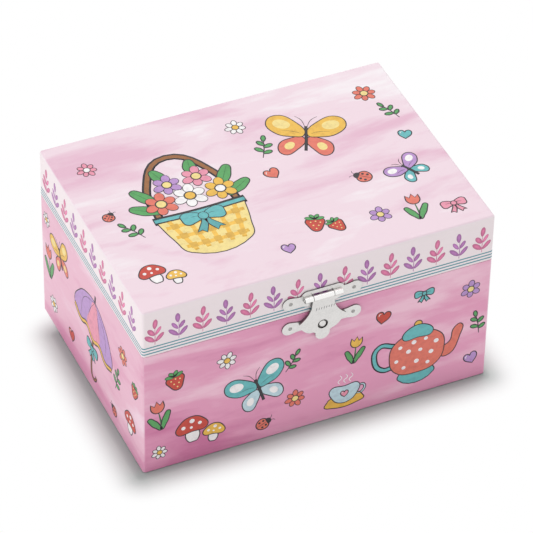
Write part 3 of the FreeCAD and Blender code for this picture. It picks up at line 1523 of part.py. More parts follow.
def make_dancer():
    """Dancer and skirt, drawn upright about the fold and leant forward under the closed lid."""
    foot = fold_arm
    hip = foot + (s.foot_height + s.leg_length) * dancer_part
    lean = Rotation(Vector(1, 0, 0), float(s.fold_angle))
    for name, thing in (("ballerina_figure", make_figure(foot, hip)), ("ballerina_tutu", make_skirt(hip))):
        move(node(name, thing), 0, spindle_y, fold_z, lean)
        bind(thing, "Placement.Rotation.Angle", s.fold_angle)


# Assembly

make_body_boards()
make_body_wrap()
make_body_lining()
make_stage()
make_tray()
make_lid_boards()
make_lid_wrap()
make_lid_lining()
pins = [make_hinge(side, place) for side, place in hinge_sides.items()]
pins.append(make_clasp_plates())
node("hinge_and_clasp_pins", group("hinge_and_clasp_pins", *pins))
node("body_nails", group(
    "body_nails",
    *nail_set("body_hinge_nail", body_hinge_nails, leaf_face, 1),
    *nail_set("body_clasp_nail", body_clasp_nails, plate_y, -1),
))
node("lid_nails", group(
    "lid_nails",
    *nail_set("lid_hinge_nail", lid_hinge_nails, leaf_face, 1),
    *nail_set("lid_clasp_nail", lid_clasp_nails, plate_y, -1),
))
make_stud()
make_hasp()
make_bedplate()
make_comb()
make_screws()
make_barrel()
make_winding()
make_cylinder()
make_governor()
make_turntable()
make_stop_spring()
make_neck_spring()
make_stop_rod()
make_dancer()
doc.recompute()


def check_document():
    """Stops if any object failed or any sub-part has no sound shape."""
    failed = [thing.Label for thing in doc.Objects if {"Invalid", "Error"} & set(thing.State)]
    failed += [thing.Label for thing in nodes if thing.Shape.isNull() or not thing.Shape.isValid()]
    if failed:
        raise RuntimeError("failed: " + ", ".join(failed))


check_document()
os.makedirs("parts", exist_ok=True)
for thing in nodes:
    thing.Shape.exportStep(f"parts/{thing.Label}.step")
print(f"{len(nodes)} sub-parts written")
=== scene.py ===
"""Paper, print, metal, cloth and dancer of a musical jewellery box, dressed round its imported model."""

import json
import math

import bmesh
import bpy
from mathutils import Matrix, Vector


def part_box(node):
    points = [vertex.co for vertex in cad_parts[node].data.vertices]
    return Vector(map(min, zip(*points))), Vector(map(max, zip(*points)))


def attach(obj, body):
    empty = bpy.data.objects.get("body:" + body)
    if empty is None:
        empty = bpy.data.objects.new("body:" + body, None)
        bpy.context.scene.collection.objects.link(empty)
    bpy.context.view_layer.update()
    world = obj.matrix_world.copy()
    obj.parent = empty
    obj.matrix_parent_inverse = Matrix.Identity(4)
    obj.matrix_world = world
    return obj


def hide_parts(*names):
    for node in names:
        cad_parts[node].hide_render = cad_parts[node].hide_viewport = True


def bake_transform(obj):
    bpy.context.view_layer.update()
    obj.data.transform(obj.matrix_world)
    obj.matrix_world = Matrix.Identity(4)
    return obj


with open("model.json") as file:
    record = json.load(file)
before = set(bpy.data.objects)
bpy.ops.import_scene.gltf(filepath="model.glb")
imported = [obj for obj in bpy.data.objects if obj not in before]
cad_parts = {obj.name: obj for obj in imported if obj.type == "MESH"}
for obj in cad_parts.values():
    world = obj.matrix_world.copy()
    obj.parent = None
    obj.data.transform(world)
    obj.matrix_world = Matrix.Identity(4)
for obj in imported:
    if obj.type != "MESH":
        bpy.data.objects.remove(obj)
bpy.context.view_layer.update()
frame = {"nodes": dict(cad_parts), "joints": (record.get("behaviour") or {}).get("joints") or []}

bl_info = {
    "name": "Ballerina jewellery box",
    "version": (1, 0, 0),
    "blender": (4, 5, 0),
    "location": "View3D > Sidebar > Jewellery box",
    "description": "Dresses the packed jewellery box in paper, print, metal and cloth",
    "category": "Object",
}

MM = 0.001

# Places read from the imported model, in metres
lid_low, lid_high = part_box("lid_paper_wrap")
body_low, body_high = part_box("body_paper_wrap")

# Rounding of the paper at the box's upright corners
CORNER_ROUND = 1.2 * MM


# Colours and sizes that a user may change


def tone(red, green, blue):
    """A paint-chart colour, 0 to 255, as the linear values that shader nodes take."""
    shares = [c / 255 for c in (red, green, blue)]
    linear = [c / 12.92 if c <= 0.04045 else ((c + 0.055) / 1.055) ** 2.4 for c in shares]
    return (*linear, 1.0)


def swatch(name, description, red, green, blue):
    """A colour property."""
    return bpy.props.FloatVectorProperty(
        name=name,
        description=description,
        subtype="COLOR",
        size=4,
        min=0,
        max=1,
        default=tone(red, green, blue),
    )


def length(name, description, millimetres):
    """A length property."""
    return bpy.props.FloatProperty(
        name=name,
        description=description,
        default=millimetres * MM,
        min=0,
        unit="LENGTH",
        precision=5,
    )


class PaperColours(bpy.types.PropertyGroup):
    """Watercolour paper of the box."""

    lid_pale: swatch("Lid pale", "Palest streaks of the lid's top", 250, 244, 247)
    lid_wash: swatch("Lid wash", "Wash of the lid's top", 243, 220, 230)
    lid_deep: swatch("Lid deep", "Pinkest patches of the lid's top", 232, 189, 209)
    band: swatch("Band", "Ground of the printed band round the lid", 252, 240, 243)
    body_pale: swatch("Body pale", "Palest streaks of the front and back", 249, 202, 221)
    body_wash: swatch("Body wash", "Wash of the front and back", 236, 164, 196)
    body_deep: swatch("Body deep", "Deepest patches of the front and back", 212, 124, 166)
    side_pale: swatch("Side pale", "Palest streaks of the two sides", 248, 216, 230)
    side_wash: swatch("Side wash", "Wash of the two sides", 240, 190, 210)
    side_deep: swatch("Side deep", "Deepest patches of the two sides", 226, 152, 186)
    # The fold colour is paper worn pale, and partly a painted highlight along the folds and the lid's top
    # edge
    fold: swatch("Fold", "Paper worn pale along its folds", 250, 238, 245)


class PrintColours(bpy.types.PropertyGroup):
    """Inks of the printed motifs."""

    pink: swatch("Leaf pink", "Pink leaves of the border", 224, 124, 166)
    purple: swatch("Leaf purple", "Purple leaves of the border", 184, 122, 184)
    stripe: swatch("Stripe", "Teal stripes round the lid", 92, 158, 170)
    ink: swatch("Ink", "Drawn outlines", 52, 50, 54)
    coral: swatch("Coral", "Coral fills", 233, 124, 106)
    red: swatch("Red", "Red fills", 206, 76, 62)
    yellow: swatch("Yellow", "Warm yellow fills", 243, 194, 84)
    lemon: swatch("Lemon", "Pale yellow fills", 250, 228, 150)
    teal: swatch("Teal", "Teal fills", 108, 192, 194)
    sky: swatch("Sky", "Pale blue fills", 198, 226, 234)
    lilac: swatch("Lilac", "Lilac fills", 192, 152, 210)
    blush: swatch("Blush", "Rosy fills", 240, 156, 178)
    green: swatch("Green", "Leaf green fills", 92, 168, 98)
    moss: swatch("Moss", "Dark green lines", 62, 118, 70)
    brown: swatch("Brown", "Brown fills", 160, 106, 62)
    white: swatch("White", "White fills", 253, 251, 250)


class ClothColours(bpy.types.PropertyGroup):
    """Linings, stage and dancer."""

    lining: swatch("Lining", "Lining of the walls", 244, 220, 230)
    velvet: swatch("Velvet", "Velvet of the stage, rolls and felts", 222, 142, 178)
    tights: swatch("Tights", "Dancer's tights", 246, 214, 216)
    satin: swatch("Satin", "Dancer's bodice and slippers", 226, 128, 168)
    skin: swatch("Skin", "Dancer's skin", 238, 196, 172)
    hair: swatch("Hair", "Dancer's hair", 96, 60, 40)
    tulle: swatch("Tulle", "Dancer's skirt", 250, 222, 234)


class PrintSizes(bpy.types.PropertyGroup):
    """Sizes of the printed border."""

    sprig_rise: length("Sprig rise", "Foot of the sprigs above the lid's lower edge", 5.3)
    sprig_pitch_long: length("Long pitch", "Sprig spacing on the front and back", 10.1)
    sprig_pitch_short: length("Short pitch", "Sprig spacing on the sides", 10.15)
    stripe_first: length("First stripe", "Lowest stripe above the lid's lower edge", 1.0)
    stripe_pitch: length("Stripe pitch", "Spacing of the stripes", 1.5)
    stripe_tall: length("Stripe width", "Width of each stripe", 0.57)
    ink_line: length("Ink line", "Width of the drawn outlines", 0.52)


def colours(group):
    """The present colours of a group, by name."""
    values = getattr(bpy.context.scene, group)
    return {key: tuple(getattr(values, key)) for key in type(values).__annotations__}


# Finishes


class Tint:
    """A socket of a finish; sums on it add Math nodes."""

    def __init__(self, shading, socket):
        self.shading = shading
        self.socket = socket

    def sum(self, operation, first, second=0.0):
        """A Math node on two values."""
        return self.shading.node("ShaderNodeMath", {"operation": operation}, {0: first, 1: second})

    def __add__(self, other):
        return self.sum("ADD", self, other)

    def __radd__(self, other):
        return self.sum("ADD", other, self)

    def __sub__(self, other):
        return self.sum("SUBTRACT", self, other)

    def __rsub__(self, other):
        return self.sum("SUBTRACT", other, self)

    def __mul__(self, other):
        return self.sum("MULTIPLY", self, other)

    def __rmul__(self, other):
        return self.sum("MULTIPLY", other, self)

    def __abs__(self):
        return self.sum("ABSOLUTE", self)

    def above(self, level, soft):
        """1 where the value is past the level, with a soft edge."""
        sockets = {"Value": self, "From Min": level - soft, "From Max": level + soft}
        return self.shading.node("ShaderNodeMapRange", {"interpolation_type": "SMOOTHSTEP"}, sockets)

    def most(self, other):
        """The larger of two values."""
        return self.sum("MAXIMUM", self, other)

    def root(self):
        """The square root."""
        return self.sum("SQRT", self)


class Shading:
    """The nodes of a material or of the room, which end in one surface."""

    def __init__(self, owner, ending):
        owner.use_nodes = True
        self.tree = owner.node_tree
        self.tree.nodes.clear()
        self.surface = self.tree.nodes.new(ending).inputs["Surface"]

    def node(self, kind, settings=None, sockets=None, output=0):
        """Adds a node: its settings first, then the values or links of its sockets."""
        new = self.tree.nodes.new(kind)
        for key, value in (settings or {}).items():
            if key == "stops":
                self.set_stops(new.color_ramp, value)
            else:
                setattr(new, key, value)
        for key, value in (sockets or {}).items():
            self.feed(new.inputs[key], value)
        return Tint(self, new.outputs[output])

    def set_stops(self, ramp, stops):
        """Places and colours of a ramp."""
        while len(ramp.elements) < len(stops):
            ramp.elements.new(1.0)
        for element, (position, value) in zip(ramp.elements, stops):
            element.position = position
            element.color = value

    def feed(self, socket, value):
        """Links a value to a socket, or sets a plain one."""
        if isinstance(value, Tint):
            self.tree.links.new(value.socket, socket)
        else:
            socket.default_value = value

    def any_ray(self, *kinds):
        """1 for rays of these kinds."""
        outputs = self.node("ShaderNodeLightPath").socket.node.outputs
        total = Tint(self, outputs[kinds[0]])
        for kind in kinds[1:]:
            total = total.most(Tint(self, outputs[kind]))
        return total

    def choose(self, factor, first, second):
        """The second shader where the factor is 1, and otherwise the first."""
        return self.node("ShaderNodeMixShader", sockets={0: factor, 1: first, 2: second})


class Finish(Shading):
    """A procedural material on one shader."""

    def __init__(self, name, constants):
        self.material = bpy.data.materials.new(name)
        super().__init__(self.material, "ShaderNodeOutputMaterial")
        self.shader = self.node("ShaderNodeBsdfPrincipled", sockets=constants)
        self.feed(self.surface, self.shader)
        self.place = self.node("ShaderNodeTexCoord", output="Object")

    def drive(self, socket, value):
        """Feeds a socket of the shader."""
        self.feed(self.shader.socket.node.inputs[socket], value)

    def axes(self):
        """Object coordinates as three values."""
        parts = self.node("ShaderNodeSeparateXYZ", sockets={0: self.place})
        return [Tint(self, output) for output in parts.socket.node.outputs]

    def stretched(self, scale, shift=(0, 0, 0)):
        """Object coordinates with a scale of their own along each axis, per metre."""
        sockets = {"Vector": self.place, "Scale": scale, "Location": shift}
        return self.node("ShaderNodeMapping", sockets=sockets)

    def noise(self, vector, scale, detail=3.0, roughness=0.5, distortion=0.0):
        """Soft cloudy pattern, 0 to 1."""
        sockets = {
            "Vector": vector,
            "Scale": scale,
            "Detail": detail,
            "Roughness": roughness,
            "Distortion": distortion,
        }
        return self.node("ShaderNodeTexNoise", sockets=sockets)

    def ramp(self, value, stops):
        """A value turned into colours."""
        return self.node("ShaderNodeValToRGB", {"stops": stops}, {"Fac": value})

    def mix(self, factor, first, second, way="MIX"):
        """Two colours mixed by a factor."""
        settings = {"data_type": "RGBA", "blend_type": way}
        return self.node("ShaderNodeMix", settings, {0: factor, 6: first, 7: second}, 2)

    def bump(self, height, strength, distance):
        """Raises the surface by a pattern."""
        sockets = {"Height": height, "Strength": strength, "Distance": distance}
        self.drive("Normal", self.node("ShaderNodeBump", sockets=sockets))


def shaded(colour, share):
    """A colour darkened or lightened by a share."""
    return (*(min(1.0, c * share) for c in colour[:3]), 1.0)


def watercolour(finish, tones, scale, shift, bias=0.0):
    """Brushed wash: broad soft strokes with finer bristle marks in them, deeper where the bias is.

    The scale counts strokes per metre along each axis, and the shift picks a part of the pattern.
    """
    pale, wash, deep = tones
    broad = finish.noise(finish.stretched(scale, shift), 1.0, 4.0, 0.5, 0.8)
    bristle = finish.noise(finish.stretched([5 * s for s in scale], shift), 1.0, 5.0, 0.6, 0.3)
    stops = [(0.37, pale), (0.48, wash), (0.53, wash), (0.67, deep)]
    return finish.ramp(broad * 0.8 + bristle * 0.2 + bias, stops)


def paper_grain(finish):
    """Fine tooth of printed paper under a satin film."""
    tooth = finish.noise(finish.place, 5200.0, 2.0, 0.6)
    finish.bump(tooth, 0.12, 0.00004)
    finish.drive("Roughness", tooth * 0.12 + 0.42)


PAPER = {"Specular IOR Level": 0.35, "Coat Weight": 0.08, "Coat Roughness": 0.3}

# Folds worn pale and partly painted lighter as a highlight: how far in from the upright corners, and between
# which depths below the lid's top
FOLD_INSET = 0.4 * MM
FOLD_SOFT = 0.25 * MM
CREASE_LOW = 0.75 * MM
CREASE_HIGH = 0.3 * MM
CREASE_WEAR_AND_HIGHLIGHT = 0.45
LID_FOLD_WEAR_AND_HIGHLIGHT = 0.6
BODY_FOLD_WEAR_AND_HIGHLIGHT = 0.3

# Depth below the lid's top at which the band gives way to the wash
WASH_EDGE = 0.55 * MM

# Depth in from the body's ends within which a face counts as a side
SIDE_DEPTH = 0.7 * MM


def fold_mask(x, y):
    """1 along the box's upright corner folds."""
    near_end = abs(x).above(lid_high.x - FOLD_INSET, FOLD_SOFT)
    near_side = abs(y).above(lid_high.y - FOLD_INSET, FOLD_SOFT)
    return near_end * near_side


def lid_paper(c):
    """Washed top and a pale band down the four sides."""
    finish = Finish("lid_paper", PAPER)
    x, y, z = finish.axes()
    tones = (c["lid_pale"], c["lid_wash"], c["lid_deep"])
    deeper = y * 0.6 - x * 0.25 + x * x * 5
    wash = watercolour(finish, tones, (11, 38, 38), (3.1, 1.17, 0.4), deeper)
    grounds = (c["band"], shaded(c["band"], 0.985), shaded(c["band"], 0.95))
    band = watercolour(finish, grounds, (12, 14, 60), (0, 5, 2))
    top = z.above(lid_high.z - WASH_EDGE, 0.12 * MM)
    painted = finish.mix(top, band, wash)
    crease = z.above(lid_high.z - CREASE_LOW, 0.2 * MM) * (1 - z.above(lid_high.z - CREASE_HIGH, 0.15 * MM))
    # Pale folds and top crease: partly wear, partly a painted highlight
    folds = (crease * CREASE_WEAR_AND_HIGHLIGHT).most(fold_mask(x, y) * LID_FOLD_WEAR_AND_HIGHLIGHT)
    finish.drive("Base Color", finish.mix(folds, painted, c["fold"]))
    paper_grain(finish)
    return finish.material


def body_paper(c):
    """Wash of the front and back, and a paler one of the two sides, deeper towards the floor."""
    finish = Finish("body_paper", PAPER)
    x, y, z = finish.axes()
    lower = 0.08 - z * 2.6
    long_tones = (c["body_pale"], c["body_wash"], c["body_deep"])
    long_wash = watercolour(finish, long_tones, (10, 36, 40), (7.3, 0.2, 1.1), lower + x * 0.35)
    side_tones = (c["side_pale"], c["side_wash"], c["side_deep"])
    side_wash = watercolour(finish, side_tones, (36, 12, 40), (1.3, 4.2, 5.0), lower)
    on_side = abs(x).above(body_high.x - SIDE_DEPTH, 0.3 * MM)
    painted = finish.mix(on_side, long_wash, side_wash)
    # Pale upright folds: partly wear, partly a painted highlight
    folds = fold_mask(x, y) * BODY_FOLD_WEAR_AND_HIGHLIGHT
    finish.drive("Base Color", finish.mix(folds, painted, c["fold"]))
    paper_grain(finish)
    return finish.material


def plain_paper(name, base):
    """Unprinted paper with faint mottling."""
    finish = Finish(name, PAPER)
    mottle = finish.noise(finish.place, 160.0, 4.0)
    finish.drive("Base Color", finish.ramp(mottle, [(0.35, shaded(base, 0.93)), (0.65, base)]))
    paper_grain(finish)
    return finish.material


def printed_ink():
    """Ink of the drawn motifs: each shape's own colour, pooled a little as watercolour does."""
    finish = Finish("printed_ink", PAPER)
    ink = finish.node("ShaderNodeAttribute", {"attribute_name": "ink"}, output="Color")
    pool = finish.noise(finish.place, 420.0, 4.0, 0.6, 0.4)
    wet = finish.ramp(pool, [(0.3, tone(236, 232, 236)), (0.55, tone(255, 255, 255))])
    finish.drive("Base Color", finish.mix(1.0, ink, wet, "MULTIPLY"))
    paper_grain(finish)
    return finish.material


def shared_ink():
    """The one ink that all the prints share."""
    return bpy.data.materials.get("printed_ink") or printed_ink()


def fibreboard():
    """Pressed fibres of the bare boards."""
    finish = Finish("fibreboard", {"Specular IOR Level": 0.2})
    fleck = finish.noise(finish.stretched((900, 900, 1600)), 1.0, 5.0, 0.7)
    stops = [(0.3, tone(134, 100, 68)), (0.55, tone(176, 140, 100)), (0.75, tone(200, 168, 128))]
    finish.drive("Base Color", finish.ramp(fleck, stops))
    finish.drive("Roughness", fleck * 0.2 + 0.7)
    finish.bump(fleck, 0.4, 0.0001)
    return finish.material


def velvet(name, base):
    """Flocked pile: brushed light and dark, with a soft sheen."""
    sheen = {"Sheen Weight": 0.5, "Sheen Roughness": 0.4, "Sheen Tint": shaded(base, 1.3), "Roughness": 0.9}
    finish = Finish(name, {**sheen, "Specular IOR Level": 0.15})
    brushed = finish.noise(finish.stretched((34, 60, 60)), 1.0, 2.0, 0.5, 0.5)
    pile = finish.noise(finish.place, 4200.0, 2.0, 0.7)
    shade = brushed * 0.7 + pile * 0.3
    stops = [(0.3, shaded(base, 0.8)), (0.5, base), (0.7, shaded(base, 1.1))]
    finish.drive("Base Color", finish.ramp(shade, stops))
    finish.bump(pile, 0.5, 0.00012)
    return finish.material


def lining_cloth(name, base):
    """Fine woven lining with a faint watered figure."""
    finish = Finish(name, {"Specular IOR Level": 0.3, "Sheen Weight": 0.25, "Sheen Roughness": 0.5})
    bands = {"wave_type": "BANDS", "bands_direction": "DIAGONAL"}
    sockets = {"Vector": finish.place, "Scale": 620.0, "Distortion": 0.6}
    warp = finish.node("ShaderNodeTexWave", bands, sockets, 1)
    watered = finish.noise(finish.stretched((40, 40, 160)), 1.0, 3.0, 0.5, 1.6)
    stops = [(0.35, shaded(base, 0.9)), (0.5, base), (0.62, shaded(base, 1.05))]
    finish.drive("Base Color", finish.ramp(watered * 0.8 + warp * 0.2, stops))
    finish.drive("Roughness", 0.62 - watered * 0.2)
    finish.bump(warp, 0.3, 0.00005)
    return finish.material


# The clasp's barrel: how far from its pin it is polished and painted lighter as a highlight, and how far
# behind the pin the polish ends; then the painted highlight's tone
BARREL_POLISH = 1.4 * MM
BARREL_BACK = 0.5 * MM
BARREL_PAINTED_HIGHLIGHT = tone(246, 245, 243)

# Share of the plating's tone kept on the marked edges, which are painted dark as shade and dark reflection
EDGE_PAINTED_SHADE = 0.3


def metal(name, base, rough, grain, bump, barrel=None):
    """Plated or turned metal with faint handling marks, their grain counted per metre along each axis.

    Where a barrel's y and z are given, its run is polished and painted lighter as a highlight, and the marked
    edges are painted dark as shade and dark reflection.
    """
    finish = Finish(name, {"Metallic": 1.0})
    cloud = finish.noise(finish.place, 260.0, 4.0, 0.6)
    marks = finish.noise(finish.stretched(grain), 1.0, 3.0, 0.6)
    plated = finish.ramp(cloud * 0.3 + marks * 0.7, [(0.38, shaded(base, 0.9)), (0.6, base)])
    matt = cloud * 0.12 + marks * 0.1 + (rough - 0.1)
    if barrel:
        _, y, z = finish.axes()
        outer = BARREL_POLISH * BARREL_POLISH
        behind = y - barrel[0]
        over = z - barrel[1]
        near = 1 - (behind * behind + over * over).above(outer, outer * 0.1)
        polished_highlight = near * (1 - behind.above(BARREL_BACK, 0.1 * MM))
        # Painted highlight: the barrel's run is lightened towards white
        plated = finish.mix(polished_highlight, plated, BARREL_PAINTED_HIGHLIGHT)
        # Painted shade and dark reflection: the marked edges are darkened
        cut = finish.node("ShaderNodeAttribute", {"attribute_name": "cut"}, output="Fac")
        plated = finish.mix(cut, plated, shaded(base, EDGE_PAINTED_SHADE))
        matt = matt - polished_highlight * (rough * 0.6)
    finish.drive("Base Color", plated)
    finish.drive("Roughness", matt)
    finish.bump(marks, bump, 0.00003)
    return finish.material


def mirror_glass():
    """Silvered glass with the faintest smears."""
    finish = Finish("mirror_glass", {"Metallic": 1.0, "Coat Weight": 0.3, "Coat Roughness": 0.02})
    smear = finish.noise(finish.place, 40.0, 3.0, 0.5, 0.8)
    finish.drive("Base Color", finish.ramp(smear, [(0.3, tone(236, 240, 242)), (0.7, tone(246, 248, 249))]))
    finish.drive("Roughness", smear * 0.03 + 0.01)
    return finish.material


def plastic(name, base, rough):
    """Moulded plastic with faint flow marks."""
    finish = Finish(name, {"Specular IOR Level": 0.45, "Subsurface Weight": 0.05})
    flow = finish.noise(finish.place, 320.0, 4.0, 0.6, 0.8)
    finish.drive("Base Color", finish.ramp(flow, [(0.3, shaded(base, 0.93)), (0.65, base)]))
    finish.drive("Roughness", flow * 0.15 + (rough - 0.07))
    finish.bump(flow, 0.08, 0.00005)
    return finish.material


def satin_cloth(name, base):
    """Close, shining weave."""
    finish = Finish(name, {"Sheen Weight": 0.3, "Sheen Roughness": 0.3, "Specular IOR Level": 0.5})
    weave = finish.noise(finish.stretched((2600, 2600, 700)), 1.0, 2.0)
    finish.drive("Base Color", finish.ramp(weave, [(0.3, shaded(base, 0.86)), (0.65, shaded(base, 1.06))]))
    finish.drive("Roughness", weave * 0.2 + 0.3)
    finish.bump(weave, 0.2, 0.00004)
    return finish.material


def tulle_net(base):
    """Stiff net: threads round small open cells."""
    finish = Finish("tulle_net", {"Specular IOR Level": 0.3, "Roughness": 0.7, "Sheen Weight": 0.3})
    cells = {"feature": "DISTANCE_TO_EDGE"}
    edge = finish.node("ShaderNodeTexVoronoi", cells, {"Vector": finish.place, "Scale": 1500.0}, "Distance")
    thread = 1 - edge.above(0.16, 0.08)
    finish.drive("Base Color", finish.mix(thread, shaded(base, 1.04), shaded(base, 0.9)))
    finish.drive("Alpha", thread * 0.4 + 0.6)
    return finish.material


def paint(material, *nodes):
    """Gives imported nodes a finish."""
    for name in nodes:
        mesh = frame["nodes"][name].data
        mesh.materials.clear()
        mesh.materials.append(material)


def mark_painted_edge_shade(pin, *nodes):
    """Marks faces to be painted dark as shade and dark reflection: the stamped plates' cut edges, which look
    neither forward nor back, and a barrel's ends.
    """
    for name in nodes:
        mesh = frame["nodes"][name].data
        marks = []
        for face in mesh.polygons:
            off = face.center - pin
            on_barrel = math.hypot(off.y, off.z) < BARREL_POLISH
            edge = abs(face.normal.x) > 0.5 if on_barrel else abs(face.normal.y) < 0.5
            marks.append(float(edge))
        cut = mesh.attributes.new("cut", "FLOAT", "FACE")
        cut.data.foreach_set("value", marks)


# Pieces


def new_piece(name, mesh, material, body):
    """A finished piece at the origin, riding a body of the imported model."""
    data = bpy.data.meshes.new(name)
    mesh.to_mesh(data)
    mesh.free()
    data.materials.append(material)
    piece = bpy.data.objects.new(name, data)
    bpy.context.scene.collection.objects.link(piece)
    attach(piece, body)
    return piece


def smooth_faces(piece):
    """Shades a piece smoothly."""
    for face in piece.data.polygons:
        face.use_smooth = True
    return piece


def turned(profile, steps=32):
    """A closed shape spun about Z from a profile of radius and height."""
    mesh = bmesh.new()
    knots = [mesh.verts.new((radius, 0, height)) for radius, height in profile]
    edges = [mesh.edges.new(ends) for ends in zip(knots, knots[1:])]
    bmesh.ops.spin(
        mesh,
        geom=knots + edges,
        cent=(0, 0, 0),
        axis=(0, 0, 1),
        angle=2 * math.pi,
        steps=steps,
        use_merge=True,
    )
    bmesh.ops.remove_doubles(mesh, verts=mesh.verts, dist=0.0001)
    bmesh.ops.recalc_face_normals(mesh, faces=mesh.faces)
    return mesh


def joined(*meshes):
    """Several shapes as one."""
    whole = bmesh.new()
    for mesh in meshes:
        part = bpy.data.meshes.new("part")
        mesh.to_mesh(part)
        mesh.free()
        whole.from_mesh(part)
        bpy.data.meshes.remove(part)
    return whole


def curve_mesh(curve):
    """A curve as a mesh with its doubles merged."""
    holder = bpy.data.objects.new("curve_holder", curve)
    data = bpy.data.meshes.new_from_object(holder)
    mesh = bmesh.new()
    mesh.from_mesh(data)
    bpy.data.objects.remove(holder)
    bpy.data.curves.remove(curve)
    bpy.data.meshes.remove(data)
    bmesh.ops.remove_doubles(mesh, verts=mesh.verts, dist=0.00001)
    return mesh


def add_spline(curve, points, closed, resolution):
    """A smooth line through points; a third number makes a point sharp."""
    line = curve.splines.new("BEZIER")
    line.bezier_points.add(len(points) - 1)
    line.use_cyclic_u = closed
    line.resolution_u = resolution
    for knot, point in zip(line.bezier_points, points):
        kind = "VECTOR" if len(point) > 2 else "AUTO"
        knot.handle_left_type = kind
        knot.handle_right_type = kind
        knot.co = (point[0], point[1], 0)
    return line


def tube(points, radii, sides=4, resolution=8):
    """A round limb or wire through points in space, with a radius at each."""
    curve = bpy.data.curves.new("tube", "CURVE")
    curve.dimensions = "3D"
    curve.bevel_depth = 1.0
    curve.bevel_resolution = sides
    curve.use_fill_caps = True
    line = add_spline(curve, points, False, resolution)
    for knot, point, radius in zip(line.bezier_points, points, radii):
        knot.handle_left_type = "AUTO"
        knot.handle_right_type = "AUTO"
        knot.co = point
        knot.radius = radius
    mesh = curve_mesh(curve)
    bmesh.ops.recalc_face_normals(mesh, faces=mesh.faces)
    return mesh


# Printed drawings

FACES = {
    "top": ((1, 0, 0), (0, 1, 0), (0, 0, 1)),
    "front": ((1, 0, 0), (0, 0, 1), (0, -1, 0)),
    "back": ((-1, 0, 0), (0, 0, 1), (0, 1, 0)),
    "left": ((0, -1, 0), (0, 0, 1), (-1, 0, 0)),
    "right": ((0, 1, 0), (0, 0, 1), (1, 0, 0)),
}

# Ink, in millimetres: how deep it is sunk, how high it stands and what each layer over it adds
INK_SUNK = 0.02
INK_BASE = 0.02
INK_LAYER = 0.008

# Lines thinner than this, in millimetres, taper to these shares at their start and end
TAPER_BELOW = 1.0
TAPER_START = 0.7
TAPER_END = 0.55
LINE_STEPS = 6


class Print:
    """Flat inked shapes drawn in millimetres on one face of the box."""

    def __init__(self, face, origin):
        across, up, out = (Vector(axis) for axis in FACES[face])
        turn = Matrix((across, up, out)).transposed().to_4x4()
        self.onto = Matrix.Translation(origin) @ turn @ Matrix.Scale(MM, 4)
        self.mesh = bmesh.new()
        self.mesh.loops.layers.float_color.new("ink")
        self.line_width = bpy.context.scene.jewel_sizes.ink_line / MM
        self.ink = colours("jewel_print")
        self.at(0, 0)

    def at(self, x, y, size=1.0, turn=0.0, base=0):
        """Where the next shapes go, their size, their turn in degrees and the layer they lie on."""
        self.base = base
        self.spot = Matrix.Translation((x, y, 0)) @ Matrix.Rotation(math.radians(turn), 4, "Z")
        self.spot = self.spot @ Matrix.Diagonal((size, size, 1, 1))
        return self

    def placed(self, points):
        """Points moved to the present spot; a third number stays with its point."""
        return [(*(self.spot @ Vector((p[0], p[1], 0))).xy, *p[2:]) for p in points]

    def keep(self, shape, colour):
        """Adds a shape to the sheet in one colour."""
        data = bpy.data.meshes.new("ink_shape")
        shape.to_mesh(data)
        shape.free()
        count = len(self.mesh.faces)
        self.mesh.from_mesh(data)
        bpy.data.meshes.remove(data)
        self.mesh.faces.ensure_lookup_table()
        layer = self.mesh.loops.layers.float_color["ink"]
        for face in self.mesh.faces[count:]:
            for loop in face.loops:
                loop[layer] = colour

    def shape(self, points, colour, layer=0, resolution=5):
        """A filled outline without an ink line."""
        curve = bpy.data.curves.new("fill", "CURVE")
        curve.dimensions = "2D"
        curve.fill_mode = "BOTH"
        high = INK_BASE + INK_LAYER * (layer + self.base)
        curve.extrude = (high + INK_SUNK) / 2
        add_spline(curve, self.placed(points), True, resolution)
        mesh = curve_mesh(curve)
        bmesh.ops.translate(mesh, vec=(0, 0, (high - INK_SUNK) / 2), verts=mesh.verts)
        bmesh.ops.recalc_face_normals(mesh, faces=mesh.faces)
        self.keep(mesh, self.ink.get(colour, colour))

    def line(self, points, width=None, colour="ink", layer=3, closed=False):
        """A brush line along points; the thin ones taper to their ends."""
        curve = bpy.data.curves.new("line", "CURVE")
        curve.dimensions = "3D"
        curve.bevel_depth = (width or self.line_width) / 2
        curve.bevel_resolution = 1
        curve.use_fill_caps = True
        line = add_spline(curve, self.placed(points), closed, LINE_STEPS)
        if not closed and curve.bevel_depth < TAPER_BELOW / 2:
            line.bezier_points[0].radius = TAPER_START
            line.bezier_points[-1].radius = TAPER_END
        mesh = curve_mesh(curve)
        high = INK_BASE + INK_LAYER * (layer + self.base)
        flat = (high + INK_SUNK) / (2 * max(vertex.co.z for vertex in mesh.verts))
        bmesh.ops.scale(mesh, vec=(1, 1, flat), verts=mesh.verts)
        bmesh.ops.translate(mesh, vec=(0, 0, (high - INK_SUNK) / 2), verts=mesh.verts)
        bmesh.ops.recalc_face_normals(mesh, faces=mesh.faces)
        self.keep(mesh, self.ink.get(colour, colour))

    def inked(self, points, colour, layer=0, width=None):
        """A filled outline with a drawn edge."""
        self.shape(points, colour, layer)
        self.line(points, width, "ink", layer + 3, True)

    def dot(self, x, y, radius, colour, layer=4):
        """A round spot."""
        angles = (0, 1.05, 2.09, 3.14, 4.19, 5.24)
        ring = [(x + radius * math.cos(a), y + radius * math.sin(a)) for a in angles]
        self.shape(ring, colour, layer, 3)

    def done(self, name, body, slot):
        """Lays the finished sheet on its face."""
        bmesh.ops.transform(self.mesh, matrix=self.onto, verts=self.mesh.verts)
        return new_piece(name, self.mesh, shared_ink(), body)


